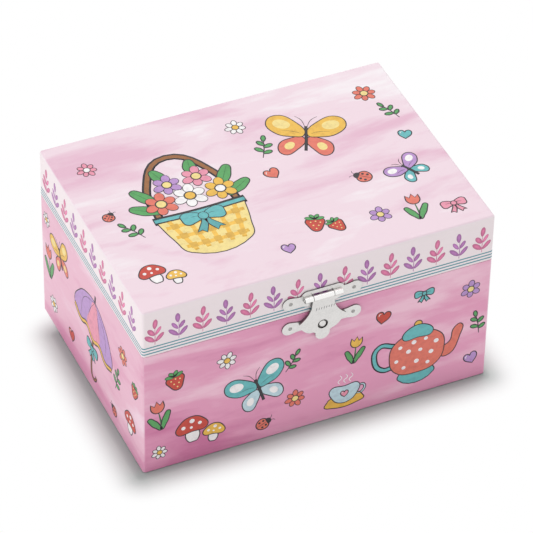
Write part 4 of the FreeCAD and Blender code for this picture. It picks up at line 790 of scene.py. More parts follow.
# Outlines of a leaf and a petal: shares of the length and of the half-width
LEAF = ((0, 0), (0.3, 0.86), (0.66, 1), (1, 0), (0.66, -1), (0.3, -0.86))
OVAL = ((0, 0), (0.2, 0.72), (0.55, 1), (0.88, 0.66), (1, 0), (0.88, -0.66), (0.55, -1), (0.2, -0.72))


def leaf(base, tip, width, form=LEAF):
    """Outline of a leaf or petal."""
    base = Vector(base)
    along = Vector(tip) - base
    side = Vector((-along.y, along.x)).normalized() * width / 2
    return [tuple(base + along * share + side * out) for share, out in form]


# Sprig leaves: foot, tip, width and lightness
PINK_SPRIG = [
    ((-0.2, 1.6), (-4.2, 5.2), 2.3, 1.0),
    ((0.3, 1.6), (3.7, 5.3), 1.9, 1.0),
    ((-0.3, 4.8), (-2.9, 8.3), 2.2, 1.0),
    ((0.3, 5.0), (2.5, 8.7), 1.5, 1.22),
    ((-0.1, 8.2), (0.3, 12.9), 2.1, 1.0),
]
PURPLE_SPRIG = [
    ((-0.2, 1.6), (-4.3, 5.5), 2.0, 1.0),
    ((0.3, 1.5), (3.6, 5.3), 1.85, 1.0),
    ((-0.4, 5.0), (-3.0, 8.6), 1.6, 1.15),
    ((0.2, 5.2), (2.4, 8.6), 1.8, 1.0),
    ((-0.4, 8.4), (-0.6, 13.0), 2.1, 1.0),
]

# Strokes of each leaf: start, end, width, shade and layer
LEAF_STROKES = ((0, 1, 1, 0.8, 1), (0.1, 0.92, 0.7, 1.0, 2), (0.28, 0.74, 0.34, 1.18, 3))

# Stripes round the lid, and the sprigs on each side with their row's shift along it in millimetres
STRIPES = 3
SPRIG_ROWS = {"front": (15, 0.0), "back": (15, 0.0), "left": (10, -1.3), "right": (10, 1.3)}


def draw_sprig(sheet, leaves, base):
    """One upright sprig of the border: five brushed leaves on a thin stem."""
    sheet.line([(0, 0), (0.05, 3), (0, 8.6)], 0.36, base, 0)
    for foot, tip, width, light in leaves:
        body = shaded(base, light)
        low = Vector(foot)
        along = Vector(tip) - low
        for start, end, share, shade, layer in LEAF_STROKES:
            outline = leaf(low + along * start, low + along * end, width * share, OVAL)
            sheet.shape(outline, shaded(body, shade), layer, 4)


def draw_border(face, count, pitch, shift):
    """A row of sprigs along one side of the lid, pink and purple in turn."""
    sizes = bpy.context.scene.jewel_sizes
    foot = lid_low.z + sizes.sprig_rise
    edge = {
        "front": (0, lid_low.y, foot),
        "back": (0, lid_high.y, foot),
        "left": (lid_low.x, 0, foot),
        "right": (lid_high.x, 0, foot),
    }
    sheet = Print(face, edge[face])
    for i in range(count):
        sheet.at((i - (count - 1) / 2) * pitch / MM + shift, 0)
        pink = i % 2 == 0
        draw_sprig(sheet, PINK_SPRIG if pink else PURPLE_SPRIG, sheet.ink["pink" if pink else "purple"])
    return sheet.done(f"sprig_border_{face}", "lid", "lid_paper")


def draw_stripe(number, low, tall):
    """One thin stripe round the lid's four sides."""
    mesh = bmesh.new()
    bmesh.ops.create_cube(mesh, size=1)
    wide = lid_high.x - lid_low.x + 2 * INK_BASE * MM
    deep = lid_high.y - lid_low.y + 2 * INK_BASE * MM
    bmesh.ops.scale(mesh, vec=(wide, deep, tall), verts=mesh.verts)
    upright = [e for e in mesh.edges if abs(e.verts[0].co.z - e.verts[1].co.z) > tall / 2]
    bmesh.ops.bevel(
        mesh,
        geom=upright,
        offset=CORNER_ROUND,
        affect="EDGES",
        segments=6,
        profile=0.5,
        material=-1,
    )
    caps = [f for f in mesh.faces if abs(f.normal.z) > 0.5]
    bmesh.ops.delete(mesh, geom=caps, context="FACES")
    bmesh.ops.solidify(mesh, geom=mesh.faces, thickness=(INK_BASE + INK_SUNK) * MM)
    bmesh.ops.recalc_face_normals(mesh, faces=mesh.faces)
    bmesh.ops.translate(mesh, vec=(0, 0, low + tall / 2), verts=mesh.verts)
    stripe = colours("jewel_print")["stripe"]
    layer = mesh.loops.layers.float_color.new("ink")
    for face in mesh.faces:
        for loop in face.loops:
            loop[layer] = stripe
    return new_piece(f"lid_stripe_{number}", mesh, shared_ink(), "lid")


# Motifs of the print, each drawn about its own middle


def mirrored(points):
    """The same points on the left of the motif."""
    return [(-p[0], *p[1:]) for p in points]


def draw_daisy(sheet, radius, petal, heart, count=7):
    """Petals round a heart."""
    for i in range(count):
        angle = 2 * math.pi * i / count + 0.3
        way = Vector((math.cos(angle), math.sin(angle)))
        reach = radius * (1.0 if i % 2 else 0.92)
        sheet.inked(leaf(way * radius * 0.2, way * reach, radius * 3.4 / count, OVAL), petal, 0, 0.34)
    sheet.dot(0, 0, radius * 0.36, "ink", 5)
    sheet.dot(0, 0, radius * 0.28, heart, 6)


def draw_butterfly(sheet, upper, lower, spot):
    """Spotted wings on both sides of a thin body."""
    wing = [(0.5, 0.8), (3, 6.5), (8, 9), (10.6, 6.2), (8.2, 1.6), (3.4, 0.2)]
    under = [(0.5, -0.2), (4.2, -0.5), (7.2, -3.4), (5.6, -7.4), (2.4, -5.4)]
    for side in (list, mirrored):
        sheet.inked(side(under), lower)
        sheet.inked(side(wing), upper, 4)
        sheet.shape(side([(4.2, 4.6), (6.6, 7.2), (8.8, 6.2), (7.2, 3.6)]), spot, 8)
        sheet.shape(side([(3.4, -2.2), (5.6, -3.6), (4.8, -5.2), (3.2, -4.2)]), spot, 5)
        sheet.line(side([(1.4, 1.6), (3.6, 2.4), (6.4, 2.6)]), 0.22, "ink", 9)
        sheet.line(side([(0.2, 4.2), (1.4, 7.4), (3.0, 8.8)]), 0.3)
    sheet.line([(0, 4.6), (0.1, 0), (0, -5.6)], 1.3, "ink", 10)


def draw_heart(sheet, fill):
    """Heart with a small shine."""
    left = [(-3.9, 0.6), (-3.2, 3.4), (-1.2, 3.6)]
    sheet.inked([(0, -4, 1), *left, (0, 2, 1), *mirrored(left[::-1])], fill)
    sheet.line([(-2.7, 1.0), (-2.4, 2.3), (-1.6, 2.6)], 0.4, "white", 5)


def draw_strawberry(sheet):
    """Strawberry with leaves and seeds."""
    sheet.inked([(0, -5), (-3.2, -1.2), (-3.7, 2), (0, 3.2), (3.7, 2), (3.2, -1.2)], "red")
    for tip in ((-3.8, 3.6), (-1.6, 5.4), (1.8, 5.4), (3.9, 3.4)):
        sheet.inked(leaf((0, 2.6), tip, 1.7), "green", 4, 0.28)
    for x, y in ((-1.8, 0.8), (0.2, 1.2), (2.0, 0.4), (-1.0, -1.2), (1.1, -1.4), (0, -3.2)):
        sheet.dot(x, y, 0.34, "lemon", 5)


def draw_ladybird(sheet):
    """Spotted ladybird, seen from above."""
    sheet.inked([(0, 2.7), (2.6, 1.8), (3.2, -0.8), (0, -3.4), (-3.2, -0.8), (-2.6, 1.8)], "coral")
    sheet.shape([(-1.7, 2.3), (0, 4.4), (1.7, 2.3), (0, 2.0)], "ink", 4)
    sheet.line([(0, 2.4), (0.1, -0.6), (0, -3.3)], 0.3)
    for x, y in ((-1.5, 0.9), (1.5, 0.9), (-1.7, -1.1), (1.7, -1.1)):
        sheet.dot(x, y, 0.56, "ink")
    for side in (list, mirrored):
        sheet.line(side([(0.6, 4), (1.2, 5.2), (2.1, 5.6)]), 0.26)


def draw_mushroom(sheet, cap):
    """Toadstool with a spotted cap."""
    sheet.inked([(-1.5, -5.2), (0, -5.6), (1.6, -5.2), (1.2, 0), (-1.2, 0)], "white")
    sheet.inked([(-5.1, -0.7), (-3.6, 3.4), (0, 5), (3.6, 3.4), (5.1, -0.7), (0, -1.3)], cap, 4)
    for x, y, radius in ((-2.8, 1.2, 0.7), (0.2, 3.1, 0.85), (2.7, 1.4, 0.65), (-0.2, 0.5, 0.5)):
        sheet.dot(x, y, radius, "white", 8)


def draw_twig(sheet):
    """Leafy twig."""
    sheet.line([(0, -6.5), (0.4, 0), (0, 6.4)], 0.5)
    leaves = (
        ((0.2, -3.2), (4.0, -1.4)),
        ((0.2, -2.0), (-3.8, 0.2)),
        ((0.3, 1.0), (3.9, 3.4)),
        ((0.3, 2.4), (-3.0, 5.0)),
    )
    for foot, tip in leaves:
        sheet.inked(leaf(foot, tip, 2.2), "green", 1)
    sheet.inked(leaf((0, 5.2), (-0.2, 9.4), 2.0), "green", 1)


def draw_tulip(sheet, fill):
    """Tulip between two long leaves."""
    sheet.line([(0, -8), (0.3, -2), (0, 4)], 0.7, "moss", 0)
    for tip in ((-5.4, 1.2), (5.2, 2.6)):
        sheet.inked(leaf((0, -8), tip, 3.0), "green", 1)
    left = [(-3.0, 5), (-3.2, 9.6, 1), (-1.4, 7.6, 1)]
    sheet.inked([(0, 3), *left, (0, 10.4, 1), *mirrored(left[::-1])], fill, 2)


def draw_bow(sheet, fill, shade):
    """Ribbon bow: two loops over two tails."""
    tail = [(0.2, -0.4), (2.2, -3.4), (5.6, -8.2, 1), (3.6, -7.6, 1), (2.2, -9.4, 1), (-0.2, -3.6)]
    loop = [(0.4, 0), (4.2, 3.4), (8, 3), (8.6, 0), (7.6, -3), (4.2, -2.8)]
    for side in (list, mirrored):
        sheet.inked(side(tail), shade)
        sheet.inked(side(loop), fill, 4)
        sheet.line(side([(1.4, 0.2), (3.6, 0.7), (5.8, 0.4)]), 0.26, "ink", 8)
    sheet.inked([(-1.3, 1.5), (1.3, 1.5), (1.4, -1.5), (-1.4, -1.5)], fill, 8)


def draw_basket(sheet, x, y, size):
    """Gingham basket of flowers with a bow: the large motif of the lid's top."""
    place = sheet.at(x, y, size)
    handle = [(-15, 2), (-13, 20), (0, 34), (13, 20), (15, 2)]
    place.line(handle, 3.3 * size, "ink", 0)
    place.line(handle, 2.5 * size, "brown", 1)
    sprays = (
        (-13, 6, -23, 12),
        (-12, 10, -19, 21),
        (13, 6, 23, 12),
        (12, 11, 19, 22),
        (-5, 20, -8, 29),
        (5, 21, 7, 30),
    )
    for fx, fy, tx, ty in sprays:
        place.inked(leaf((fx, fy), (tx, ty), 4.6), "green", 2)
        place.line([(fx, fy), ((fx + tx) / 2, (fy + ty) / 2), (tx, ty)], 0.26, "moss", 6)
    body = [(-17, 2, 1), (17, 2, 1), (14.6, -10), (11.6, -18), (-11.6, -18), (-14.6, -10)]
    place.inked(body, "lemon", 6)
    warm = shaded(sheet.ink["yellow"], 1.08)
    half = 1.4
    corners = ((-half, -half), (half, -half), (half, half), (-half, half))
    for k in range(-2, 3):
        place.line([(6.3 * k, 0.4), (5.4 * k, -9), (4.5 * k, -17.4)], 2.9 * size, warm, 7)
    for row in (-3.0, -8.8, -14.6):
        share = (17 - (2 - row) * 0.275) / 17
        place.line([(-16.2 * share, row), (0, row - 0.3), (16.2 * share, row)], 2.7 * size, warm, 8)
        for k in range(-2, 3):
            middle = 6.3 * k * share
            check = [(middle + across, row + up, 1) for across, up in corners]
            place.shape(check, shaded(warm, 0.8), 9, 1)
    place.line([(-17.6, 2), (0, 1.4), (17.6, 2)], 4.0 * size, "ink", 10)
    place.line([(-17.3, 2), (0, 1.4), (17.3, 2)], 3.1 * size, "teal", 11)
    blooms = (
        (-5.4, 19.4, 5.6, "lilac", "lemon"),
        (6.2, 20.0, 5.8, "blush", "lemon"),
        (-11.4, 10.2, 6.4, "coral", "lemon"),
        (11.6, 10.4, 6.2, "yellow", "white"),
        (0, 10.8, 6.6, "white", "yellow"),
    )
    for fx, fy, radius, petal, heart in blooms:
        draw_daisy(sheet.at(x + fx * size, y + fy * size, size, 0, 12), radius, petal, heart, 6)
    draw_bow(sheet.at(x, y - 1.2 * size, size * 0.95, 0, 16), "teal", shaded(sheet.ink["teal"], 0.8))


def draw_teapot(sheet, x, y, size):
    """Spotted teapot: the large motif of the front."""
    place = sheet.at(x, y, size)
    handle = [(-11, 7), (-18, 8.6), (-20, 1), (-16, -5), (-11, -5)]
    place.line(handle, 3.0 * size, "ink", 0)
    place.line(handle, 2.3 * size, "teal", 1)
    place.inked([(10, -3), (15.5, 1), (17.4, 8), (20.6, 9.4), (20.4, 3), (14, -7)], "coral")
    place.inked([(-7.4, -10), (7.4, -10), (8.4, -13.6), (-8.4, -13.6)], "teal")
    body = [(-13, 0), (-10.6, 8), (0, 11.6), (10.6, 8), (13, 0), (9.6, -9), (0, -11.6), (-9.6, -9)]
    place.inked(body, "coral", 4)
    upper = ((-8, 5), (-1.6, 6.2), (4, 6.6), (9, 3.6))
    lower = ((-9.6, -2.4), (-4, 1.6), (1.6, 1.0), (6.8, -1.8), (-6, -7), (0, -5), (5.4, -7.4))
    for i, (sx, sy) in enumerate((*upper, *lower)):
        place.dot(sx, sy, 1.15 if i % 2 else 0.95, "white", 8)
    place.inked([(-1.8, 16), (0, 18), (1.8, 16), (0, 14.2)], "yellow", 4)
    place.inked([(-7, 9.4), (-4.4, 14.4), (4.4, 14.4), (7, 9.4), (0, 8.6)], "teal", 9)


def draw_cup(sheet, x, y, size, fill, dish):
    """Steaming cup on a saucer."""
    place = sheet.at(x, y, size)
    place.inked([(-10.4, -5.4), (10.4, -5.4), (6, -8), (-6, -8)], dish)
    handle = [(6.4, 2.6), (10.2, 2.2), (9.2, -2), (5.4, -2.4)]
    place.line(handle, 1.6 * size, "ink", 0)
    place.line(handle, 1.0 * size, fill, 1)
    bowl = [(-7.4, 4.2), (0, 4.6), (7.4, 4.2), (6, -2.6), (2.6, -5.6), (-2.6, -5.6), (-6, -2.6)]
    place.inked(bowl, fill, 4)
    for sx in (-2.6, 0.4, 3.2):
        place.line([(sx, 6.4), (sx - 0.9, 8.2), (sx + 0.9, 10), (sx, 12)], 0.42, "white", 2)
    draw_heart(sheet.at(x, y - 0.4 * size, size * 0.5, 0, 8), "blush")


def draw_parasol(sheet, x, y, size, turn):
    """Frilled parasol: the large motif of the left side."""
    place = sheet.at(x, y, size, turn)
    shaft = [(0, 0), (0, -9), (0.2, -17), (1.6, -20), (4, -19.4), (4.6, -17.4)]
    place.line(shaft, 1.5 * size, "ink", 0)
    place.line(shaft, 0.9 * size, "brown", 1)
    place.line([(0, 15.4), (0, 17.4), (0, 19.4)], 1.2 * size, "ink", 0)
    frill = [(-16.4, -0.4), (-10.8, -2.6), (-5.4, -0.2), (0, -2.6), (5.4, -0.2), (10.8, -2.6), (16.4, -0.4)]
    rim = [(-13.2, 9.2), (-6.4, 14.6), (0, 16.2), (6.4, 14.6), (13.2, 9.2)]
    place.inked([*frill, *rim[::-1]], "lilac", 1)
    place.shape([(0, 15.8), (3.4, 9), (5.2, 0.4), (0, -1.8), (-5.2, 0.4), (-3.4, 9)], "blush", 3)
    for side in (list, mirrored):
        place.line(side([(0, 16), (3.8, 9), (5.4, 0.2)]), 0.3, "ink", 5)
        place.line(side([(0, 16), (9.2, 9.6), (10.9, 0.6)]), 0.3, "ink", 5)
    place.line(frill, 2.4 * size, "ink", 4)
    place.line(frill, 1.8 * size, "yellow", 5)
    draw_bow(sheet.at(*(place.spot @ Vector((0, -7, 0))).xy, size * 0.55, turn, 8), "teal", "teal")


def draw_balloon(sheet, x, y, size):
    """Striped hot-air balloon: the large motif of the right side."""
    place = sheet.at(x, y, size)
    gores = (
        ("yellow", [(8.4, 12), (11, 4), (6.4, -5), (2.4, -9)]),
        ("coral", [(5, 11.6), (6.4, 4), (3.6, -5), (1.2, -9)]),
        ("teal", [(1.8, 11), (2.3, 4), (1.4, -5), (0.4, -9)]),
    )
    for layer, (fill, right) in enumerate(gores):
        place.inked([(0, 15), *right, *mirrored(right[::-1])], fill, layer)
    for side in (-1, 1):
        place.line([(2.0 * side, -9), (1.9 * side, -12), (1.7 * side, -14.6)], 0.3)
    place.inked([(-2.6, -14.4), (2.6, -14.4), (2.0, -18.6), (-2.0, -18.6)], "brown", 2)
    place.line([(-2.5, -16.4), (0, -16.5), (2.5, -16.4)], 0.26, "ink", 5)


def scatter(sheet, spots):
    """Small motifs: what, where, size, turn and inks."""
    for draw, x, y, size, turn, inks in spots:
        draw(sheet.at(x, y, size, turn), *inks)


def print_top():
    """Flower basket and small motifs on the lid's top."""
    sheet = Print("top", (0, 0, lid_high.z))
    draw_basket(sheet, -31, -8, 1.12)
    scatter(sheet, [
        (draw_butterfly, 27, 20, 1.55, -24, ("yellow", "coral", "lemon")),
        (draw_butterfly, 57, -15, 0.85, 28, ("lilac", "teal", "white")),
        (draw_strawberry, 8, -31, 1.0, -16, ()),
        (draw_strawberry, 15.5, -35, 0.85, 20, ()),
        (draw_ladybird, 38, -12, 1.0, 52, ()),
        (draw_daisy, 3, 37, 1.0, 10, (4.6, "white", "yellow")),
        (draw_daisy, 61, 37, 1.0, 30, (5.2, "coral", "lemon")),
        (draw_daisy, 34, -36, 1.0, 0, (4.8, "lilac", "lemon", 6)),
        (draw_daisy, -63, 35, 1.0, 20, (4.4, "blush", "white")),
        (draw_heart, 5, 4, 0.8, 14, ("coral",)),
        (draw_heart, 65, 6, 0.7, -20, ("teal",)),
        (draw_heart, -8, -41, 0.7, -10, ("lilac",)),
        (draw_mushroom, -63, -34, 1.05, 6, ("red",)),
        (draw_mushroom, -55, -39, 0.75, -8, ("yellow",)),
        (draw_bow, 64, -41, 0.62, 0, ("blush", "blush")),
        (draw_ladybird, -66, 4, 0.75, -40, ()),
        (draw_twig, 8, 20, 0.9, -24, ()),
        (draw_twig, -60, -8, 0.85, 30, ()),
        (draw_tulip, 49, -38, 0.85, -10, ("coral",)),
        (draw_twig, 66, 22, 0.8, 20, ()),
    ])
    sheet.done("lid_top_print", "lid", "lid_paper")


def body_sheet(face):
    """A print on one side of the body, measured from the middle of that side."""
    middle = (body_low.z + body_high.z) / 2
    spots = {
        "front": (0, body_low.y, middle),
        "back": (0, body_high.y, middle),
        "left": (body_low.x, 0, middle),
        "right": (body_high.x, 0, middle),
    }
    return Print(face, spots[face])


def print_front():
    """Teapot, cup and small motifs on the front."""
    sheet = body_sheet("front")
    draw_teapot(sheet, 44, -8, 0.95)
    draw_cup(sheet, 12, -19, 0.85, "sky", "yellow")
    scatter(sheet, [
        (draw_butterfly, -26, -3, 1.25, 18, ("teal", "sky", "white")),
        (draw_mushroom, -55, -14, 1.3, 4, ("red",)),
        (draw_mushroom, -45.5, -19, 0.9, -8, ("yellow",)),
        (draw_strawberry, -62, 14, 1.0, 14, ()),
        (draw_daisy, -40, 17, 1.0, 0, (4.4, "white", "yellow")),
        (draw_daisy, -10, -14, 1.0, 20, (4.6, "coral", "lemon")),
        (draw_daisy, 67, 18, 1.0, 8, (4.6, "lilac", "lemon", 6)),
        (draw_daisy, -69, -22, 1.0, 30, (3.6, "white", "yellow")),
        (draw_heart, 28, 16, 0.8, -12, ("red",)),
        (draw_heart, 69, -20, 0.75, 16, ("lilac",)),
        (draw_ladybird, -24, -23, 0.9, -64, ()),
        (draw_bow, 46, 23, 0.5, 0, ("teal", "teal")),
        (draw_tulip, -69, -3, 0.85, 8, ("coral",)),
        (draw_twig, -12, 6, 0.75, -30, ()),
        (draw_twig, 71, -2, 0.8, 10, ()),
        (draw_tulip, 16, 2, 0.75, -6, ("yellow",)),
    ])
    sheet.done("front_print", "box_body", "body_paper")


def print_left():
    """Parasol and small motifs on the left side."""
    sheet = body_sheet("left")
    draw_parasol(sheet, 2, 0, 1.2, -8)
    scatter(sheet, [
        (draw_butterfly, -33, 13, 0.95, 20, ("yellow", "coral", "lemon")),
        (draw_mushroom, 41, -15, 1.05, -4, ("red",)),
        (draw_daisy, 34, 15, 1.0, 0, (4.6, "coral", "lemon")),
        (draw_daisy, -42, -19, 1.0, 0, (4.2, "white", "yellow")),
        (draw_daisy, -48, 22, 1.0, 14, (3.6, "white", "yellow")),
        (draw_heart, -22, -20, 0.75, 10, ("red",)),
        (draw_strawberry, 46, 6, 0.8, -14, ()),
        (draw_ladybird, 24, -23, 0.75, 60, ()),
        (draw_tulip, -46, 0, 0.9, 6, ("coral",)),
        (draw_twig, 27, -4, 0.85, -16, ()),
    ])
    sheet.done("left_print", "box_body", "body_paper")


def print_right():
    """Hot-air balloon and small motifs on the right side."""
    sheet = body_sheet("right")
    draw_balloon(sheet, -4, 2, 1.25)
    scatter(sheet, [
        (draw_butterfly, 32, 11, 1.0, -18, ("lilac", "blush", "white")),
        (draw_daisy, -38, 14, 1.0, 0, (4.8, "coral", "lemon")),
        (draw_daisy, 34, -17, 1.0, 0, (4.4, "white", "yellow")),
        (draw_mushroom, -36, -16, 1.1, 5, ("yellow",)),
        (draw_heart, 18, -18, 0.8, -8, ("red",)),
        (draw_heart, -20, -21, 0.65, 12, ("teal",)),
        (draw_strawberry, 15, 20, 0.85, 12, ()),
        (draw_twig, -24, 2, 0.85, 14, ()),
        (draw_tulip, 47, -7, 0.85, -6, ("blush",)),
    ])
    sheet.done("right_print", "box_body", "body_paper")


def print_back():
    """Small motifs on the back, clear of the key."""
    sheet = body_sheet("back")
    scatter(sheet, [
        (draw_butterfly, -28, -6, 1.1, 16, ("yellow", "coral", "lemon")),
        (draw_butterfly, 54, -8, 0.9, -20, ("teal", "sky", "white")),
        (draw_daisy, -56, -4, 1.0, 0, (5.0, "coral", "lemon")),
        (draw_daisy, 28, -4, 1.0, 0, (4.6, "lilac", "lemon", 6)),
        (draw_daisy, 0, 16, 1.0, 0, (4.4, "white", "yellow")),
        (draw_heart, -31, -25, 0.75, 12, ("red",)),
        (draw_heart, 24, 14, 0.7, -12, ("lilac",)),
        (draw_mushroom, 36, -21, 1.0, 0, ("red",)),
        (draw_strawberry, -66, -20, 0.95, 12, ()),
        (draw_ladybird, 68, -22, 0.85, 30, ()),
        (draw_twig, -68, 6, 0.85, 10, ()),
        (draw_tulip, 70, 6, 0.85, -6, ("coral",)),
    ])
    sheet.done("back_print", "box_body", "body_paper")


# Soft pieces

# Rolls: filled at ten times their size over these frames, then held to this slack, swell and mesh step
SIM_SCALE = 10
SIM_FRAMES = 20
STUFFING_PRESSURE = 4
ROLL_SLACK = 0.55 * MM
ROLL_SWELL = 0.5 * MM
ROLL_VOXEL = 1.0 * MM

# Pleats at a roll's ends: where they start along its half, how deep and how many
PLEAT_START = 0.8
PLEAT_DEEP = 0.22 * MM
PLEATS = 13

# Felts: room at the walls, the dividers' thickness, and the felt's own thickness, sinking and unevenness
FELT_GAP = 0.4 * MM
DIVIDER_THICK = 1.6 * MM
FELT_THICK = 0.9 * MM
FELT_SINK = 0.15 * MM
FELT_WAVE = 0.06 * MM


def copy_of(node):
    """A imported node's shape, in place, with its split corners merged."""
    source = frame["nodes"][node]
    mesh = bmesh.new()
    mesh.from_mesh(source.data)
    bmesh.ops.transform(mesh, matrix=source.matrix_world, verts=mesh.verts)
    bmesh.ops.remove_doubles(mesh, verts=mesh.verts, dist=1e-6)
    bmesh.ops.recalc_face_normals(mesh, faces=mesh.faces)
    return mesh


def settled(holder):
    """A holder's mesh as its modifiers leave it."""
    graph = bpy.context.evaluated_depsgraph_get()
    return bpy.data.meshes.new_from_object(holder.evaluated_get(graph))


def stuffed(node):
    """A packed roll, taken in a little and then filled out by its stuffing, about its own middle."""
    scene = bpy.context.scene
    low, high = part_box(node)
    taken_in = [SIM_SCALE * (1 - 2 * ROLL_SLACK / side) for side in high - low]
    mesh = copy_of(node)
    work = Matrix.Diagonal((*taken_in, 1)) @ Matrix.Translation(-(low + high) / 2)
    bmesh.ops.transform(mesh, matrix=work, verts=mesh.verts)
    holder = bpy.data.objects.new("stuffing", bpy.data.meshes.new("stuffing"))
    mesh.to_mesh(holder.data)
    mesh.free()
    scene.collection.objects.link(holder)
    even = holder.modifiers.new("even", "REMESH")
    even.mode = "VOXEL"
    even.voxel_size = ROLL_VOXEL * SIM_SCALE
    holder.data = settled(holder)
    holder.modifiers.clear()
    before = [vertex.co.copy() for vertex in holder.data.vertices]
    cloth = holder.modifiers.new("filling", "CLOTH")
    cloth.settings.use_pressure = True
    cloth.settings.uniform_pressure_force = STUFFING_PRESSURE
    cloth.settings.effector_weights.gravity = 0
    for number in range(1, SIM_FRAMES + 1):
        scene.frame_set(number)
    holder.data = settled(holder)
    holder.modifiers.clear()
    scene.frame_set(1)
    for vertex, first in zip(holder.data.vertices, before):
        move = vertex.co - first
        vertex.co = first + move * min(1.0, ROLL_SWELL * SIM_SCALE / max(move.length, 1e-9))
    finer = holder.modifiers.new("finer", "SUBSURF")
    finer.levels = 1
    finer.render_levels = 1
    mesh = bmesh.new()
    mesh.from_mesh(settled(holder))
    bpy.data.objects.remove(holder)
    bmesh.ops.scale(mesh, vec=[1 / SIM_SCALE] * 3, verts=mesh.verts)
    return mesh


def gathered(mesh, half):
    """Draws the cloth of a roll into small pleats towards its ends."""
    for vertex in mesh.verts:
        pull = max(0.0, (abs(vertex.co.x) / half - PLEAT_START) / (1 - PLEAT_START))
        around = math.atan2(vertex.co.z, vertex.co.y)
        vertex.co -= vertex.normal * PLEAT_DEEP * pull * (0.5 + 0.5 * math.sin(PLEATS * around))


def make_rolls(material):
    """Three velvet ring rolls."""
    low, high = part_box("ring_roll_1")
    first = stuffed("ring_roll_1")
    first.normal_update()
    gathered(first, (high.x - low.x) / 2)
    for number in (1, 2, 3):
        low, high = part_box(f"ring_roll_{number}")
        mesh = first.copy()
        bmesh.ops.translate(mesh, vec=(low + high) / 2, verts=mesh.verts)
        roll = smooth_faces(new_piece(f"velvet_roll_{number}", mesh, material, "box_body"))
        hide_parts(f"ring_roll_{number}")
    first.free()


def make_felts(material):
    """Felt floors of the three trays, lying a little uneven."""
    low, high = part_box("tray_felts")
    wall_low, wall_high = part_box("tray_dividers")
    spans = {
        "left": (low.x, wall_low.x - FELT_GAP),
        "middle": (wall_low.x + DIVIDER_THICK + FELT_GAP, wall_high.x - DIVIDER_THICK - FELT_GAP),
        "right": (wall_high.x + FELT_GAP, high.x),
    }
    for side, (start, end) in spans.items():
        mesh = bmesh.new()
        bmesh.ops.create_grid(mesh, x_segments=40, y_segments=40, size=0.5)
        wide, deep = end - start, high.y - low.y
        for vertex in mesh.verts:
            x, y = vertex.co.x, vertex.co.y
            lift = FELT_WAVE * (math.sin(9 * x + 5 * y) + math.sin(7 * y - 11 * x))
            vertex.co = (start + (x + 0.5) * wide, low.y + (y + 0.5) * deep, high.z - FELT_SINK + lift)
        bmesh.ops.recalc_face_normals(mesh, faces=mesh.faces)
        bmesh.ops.solidify(mesh, geom=mesh.faces, thickness=FELT_THICK)
        bmesh.ops.recalc_face_normals(mesh, faces=mesh.faces)
        felt = smooth_faces(new_piece(f"tray_felt_{side}", mesh, material, "box_body"))
        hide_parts("tray_felts")


def make_spring(node, bodies):
    """A packed spring as a loose, smoothly shaded piece in its place."""
    material = frame["nodes"][node].data.materials[0]
    piece = new_piece(f"{node}_coil", copy_of(node), material, bodies[0])
    loose = piece.matrix_world.copy()
    piece.parent = None
    piece.matrix_world = loose
    smooth_faces(piece)
    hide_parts(node)
    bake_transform(piece)


# Dancer, drawn upright in millimetres above the pivot

# Lean of the folded dancer, and the face's tones
DANCER_LEAN = math.radians(44)
BROW_TONE = tone(70, 46, 38)
LIP_TONE = tone(208, 96, 104)


def joint_place(name):
    """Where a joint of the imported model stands."""
    return Vector(next(j for j in frame["joints"] if j["name"] == name)["pos_m"])


def on_dancer(name, mesh, material):
    """Leans a shape of the dancer as it is folded in the closed box."""
    place = Matrix.Translation(joint_place("ballerina_fold")) @ Matrix.Rotation(DANCER_LEAN, 4, "X")
    bmesh.ops.transform(mesh, matrix=place @ Matrix.Scale(MM, 4), verts=mesh.verts)
    return smooth_faces(new_piece(name, mesh, material, "ballerina"))


def ball(centre, radii):
    """A ball or egg."""
    mesh = bmesh.new()
    bmesh.ops.create_uvsphere(mesh, u_segments=24, v_segments=16, radius=1)
    place = Matrix.Translation(centre) @ Matrix.Diagonal((*radii, 1))
    bmesh.ops.transform(mesh, matrix=place, verts=mesh.verts)
    return mesh


def pair(points, radii, *detail):
    """The same tube on both sides of the dancer."""
    return [tube([(side * x, y, z) for x, y, z in points], radii, *detail) for side in (-1, 1)]


def flattened(mesh, share):
    """A turned shape, shallower from front to back."""
    bmesh.ops.scale(mesh, vec=(1, share, 1), verts=mesh.verts)
    return mesh


def dancer_skin():
    """Shoulders, neck and head, with the arms raised in a ring."""
    shoulders = [
        (0, 28.6),
        (1.55, 28.6),
        (1.95, 29.7),
        (1.75, 30.4),
        (0.95, 31.1),
        (0.66, 31.8),
        (0.64, 33.2),
        (0, 33.2),
    ]
    arm = [
        (1.4, 0, 30.0),
        (3.9, -0.3, 31.6),
        (5.0, -0.6, 34.3),
        (3.7, -0.8, 37.4),
        (1.7, -0.9, 38.75),
        (0.55, -0.9, 38.9),
    ]
    head = ball((0, -0.1, 34.5), (1.92, 2.0, 2.4))
    arms = pair(arm, (0.72, 0.56, 0.5, 0.44, 0.34, 0.22))
    return joined(flattened(turned(shoulders), 0.78), head, *arms)


def dancer_tights():
    """Two legs, close together."""
    leg = [
        (0.95, 0, 22.2),
        (0.9, -0.1, 18.6),
        (0.62, -0.15, 14.6),
        (0.55, 0.12, 11.6),
        (0.34, 0, 8.2),
        (0.28, -0.1, 6.6),
    ]
    return joined(*pair(leg, (1.3, 1.12, 0.82, 0.86, 0.5, 0.46)))


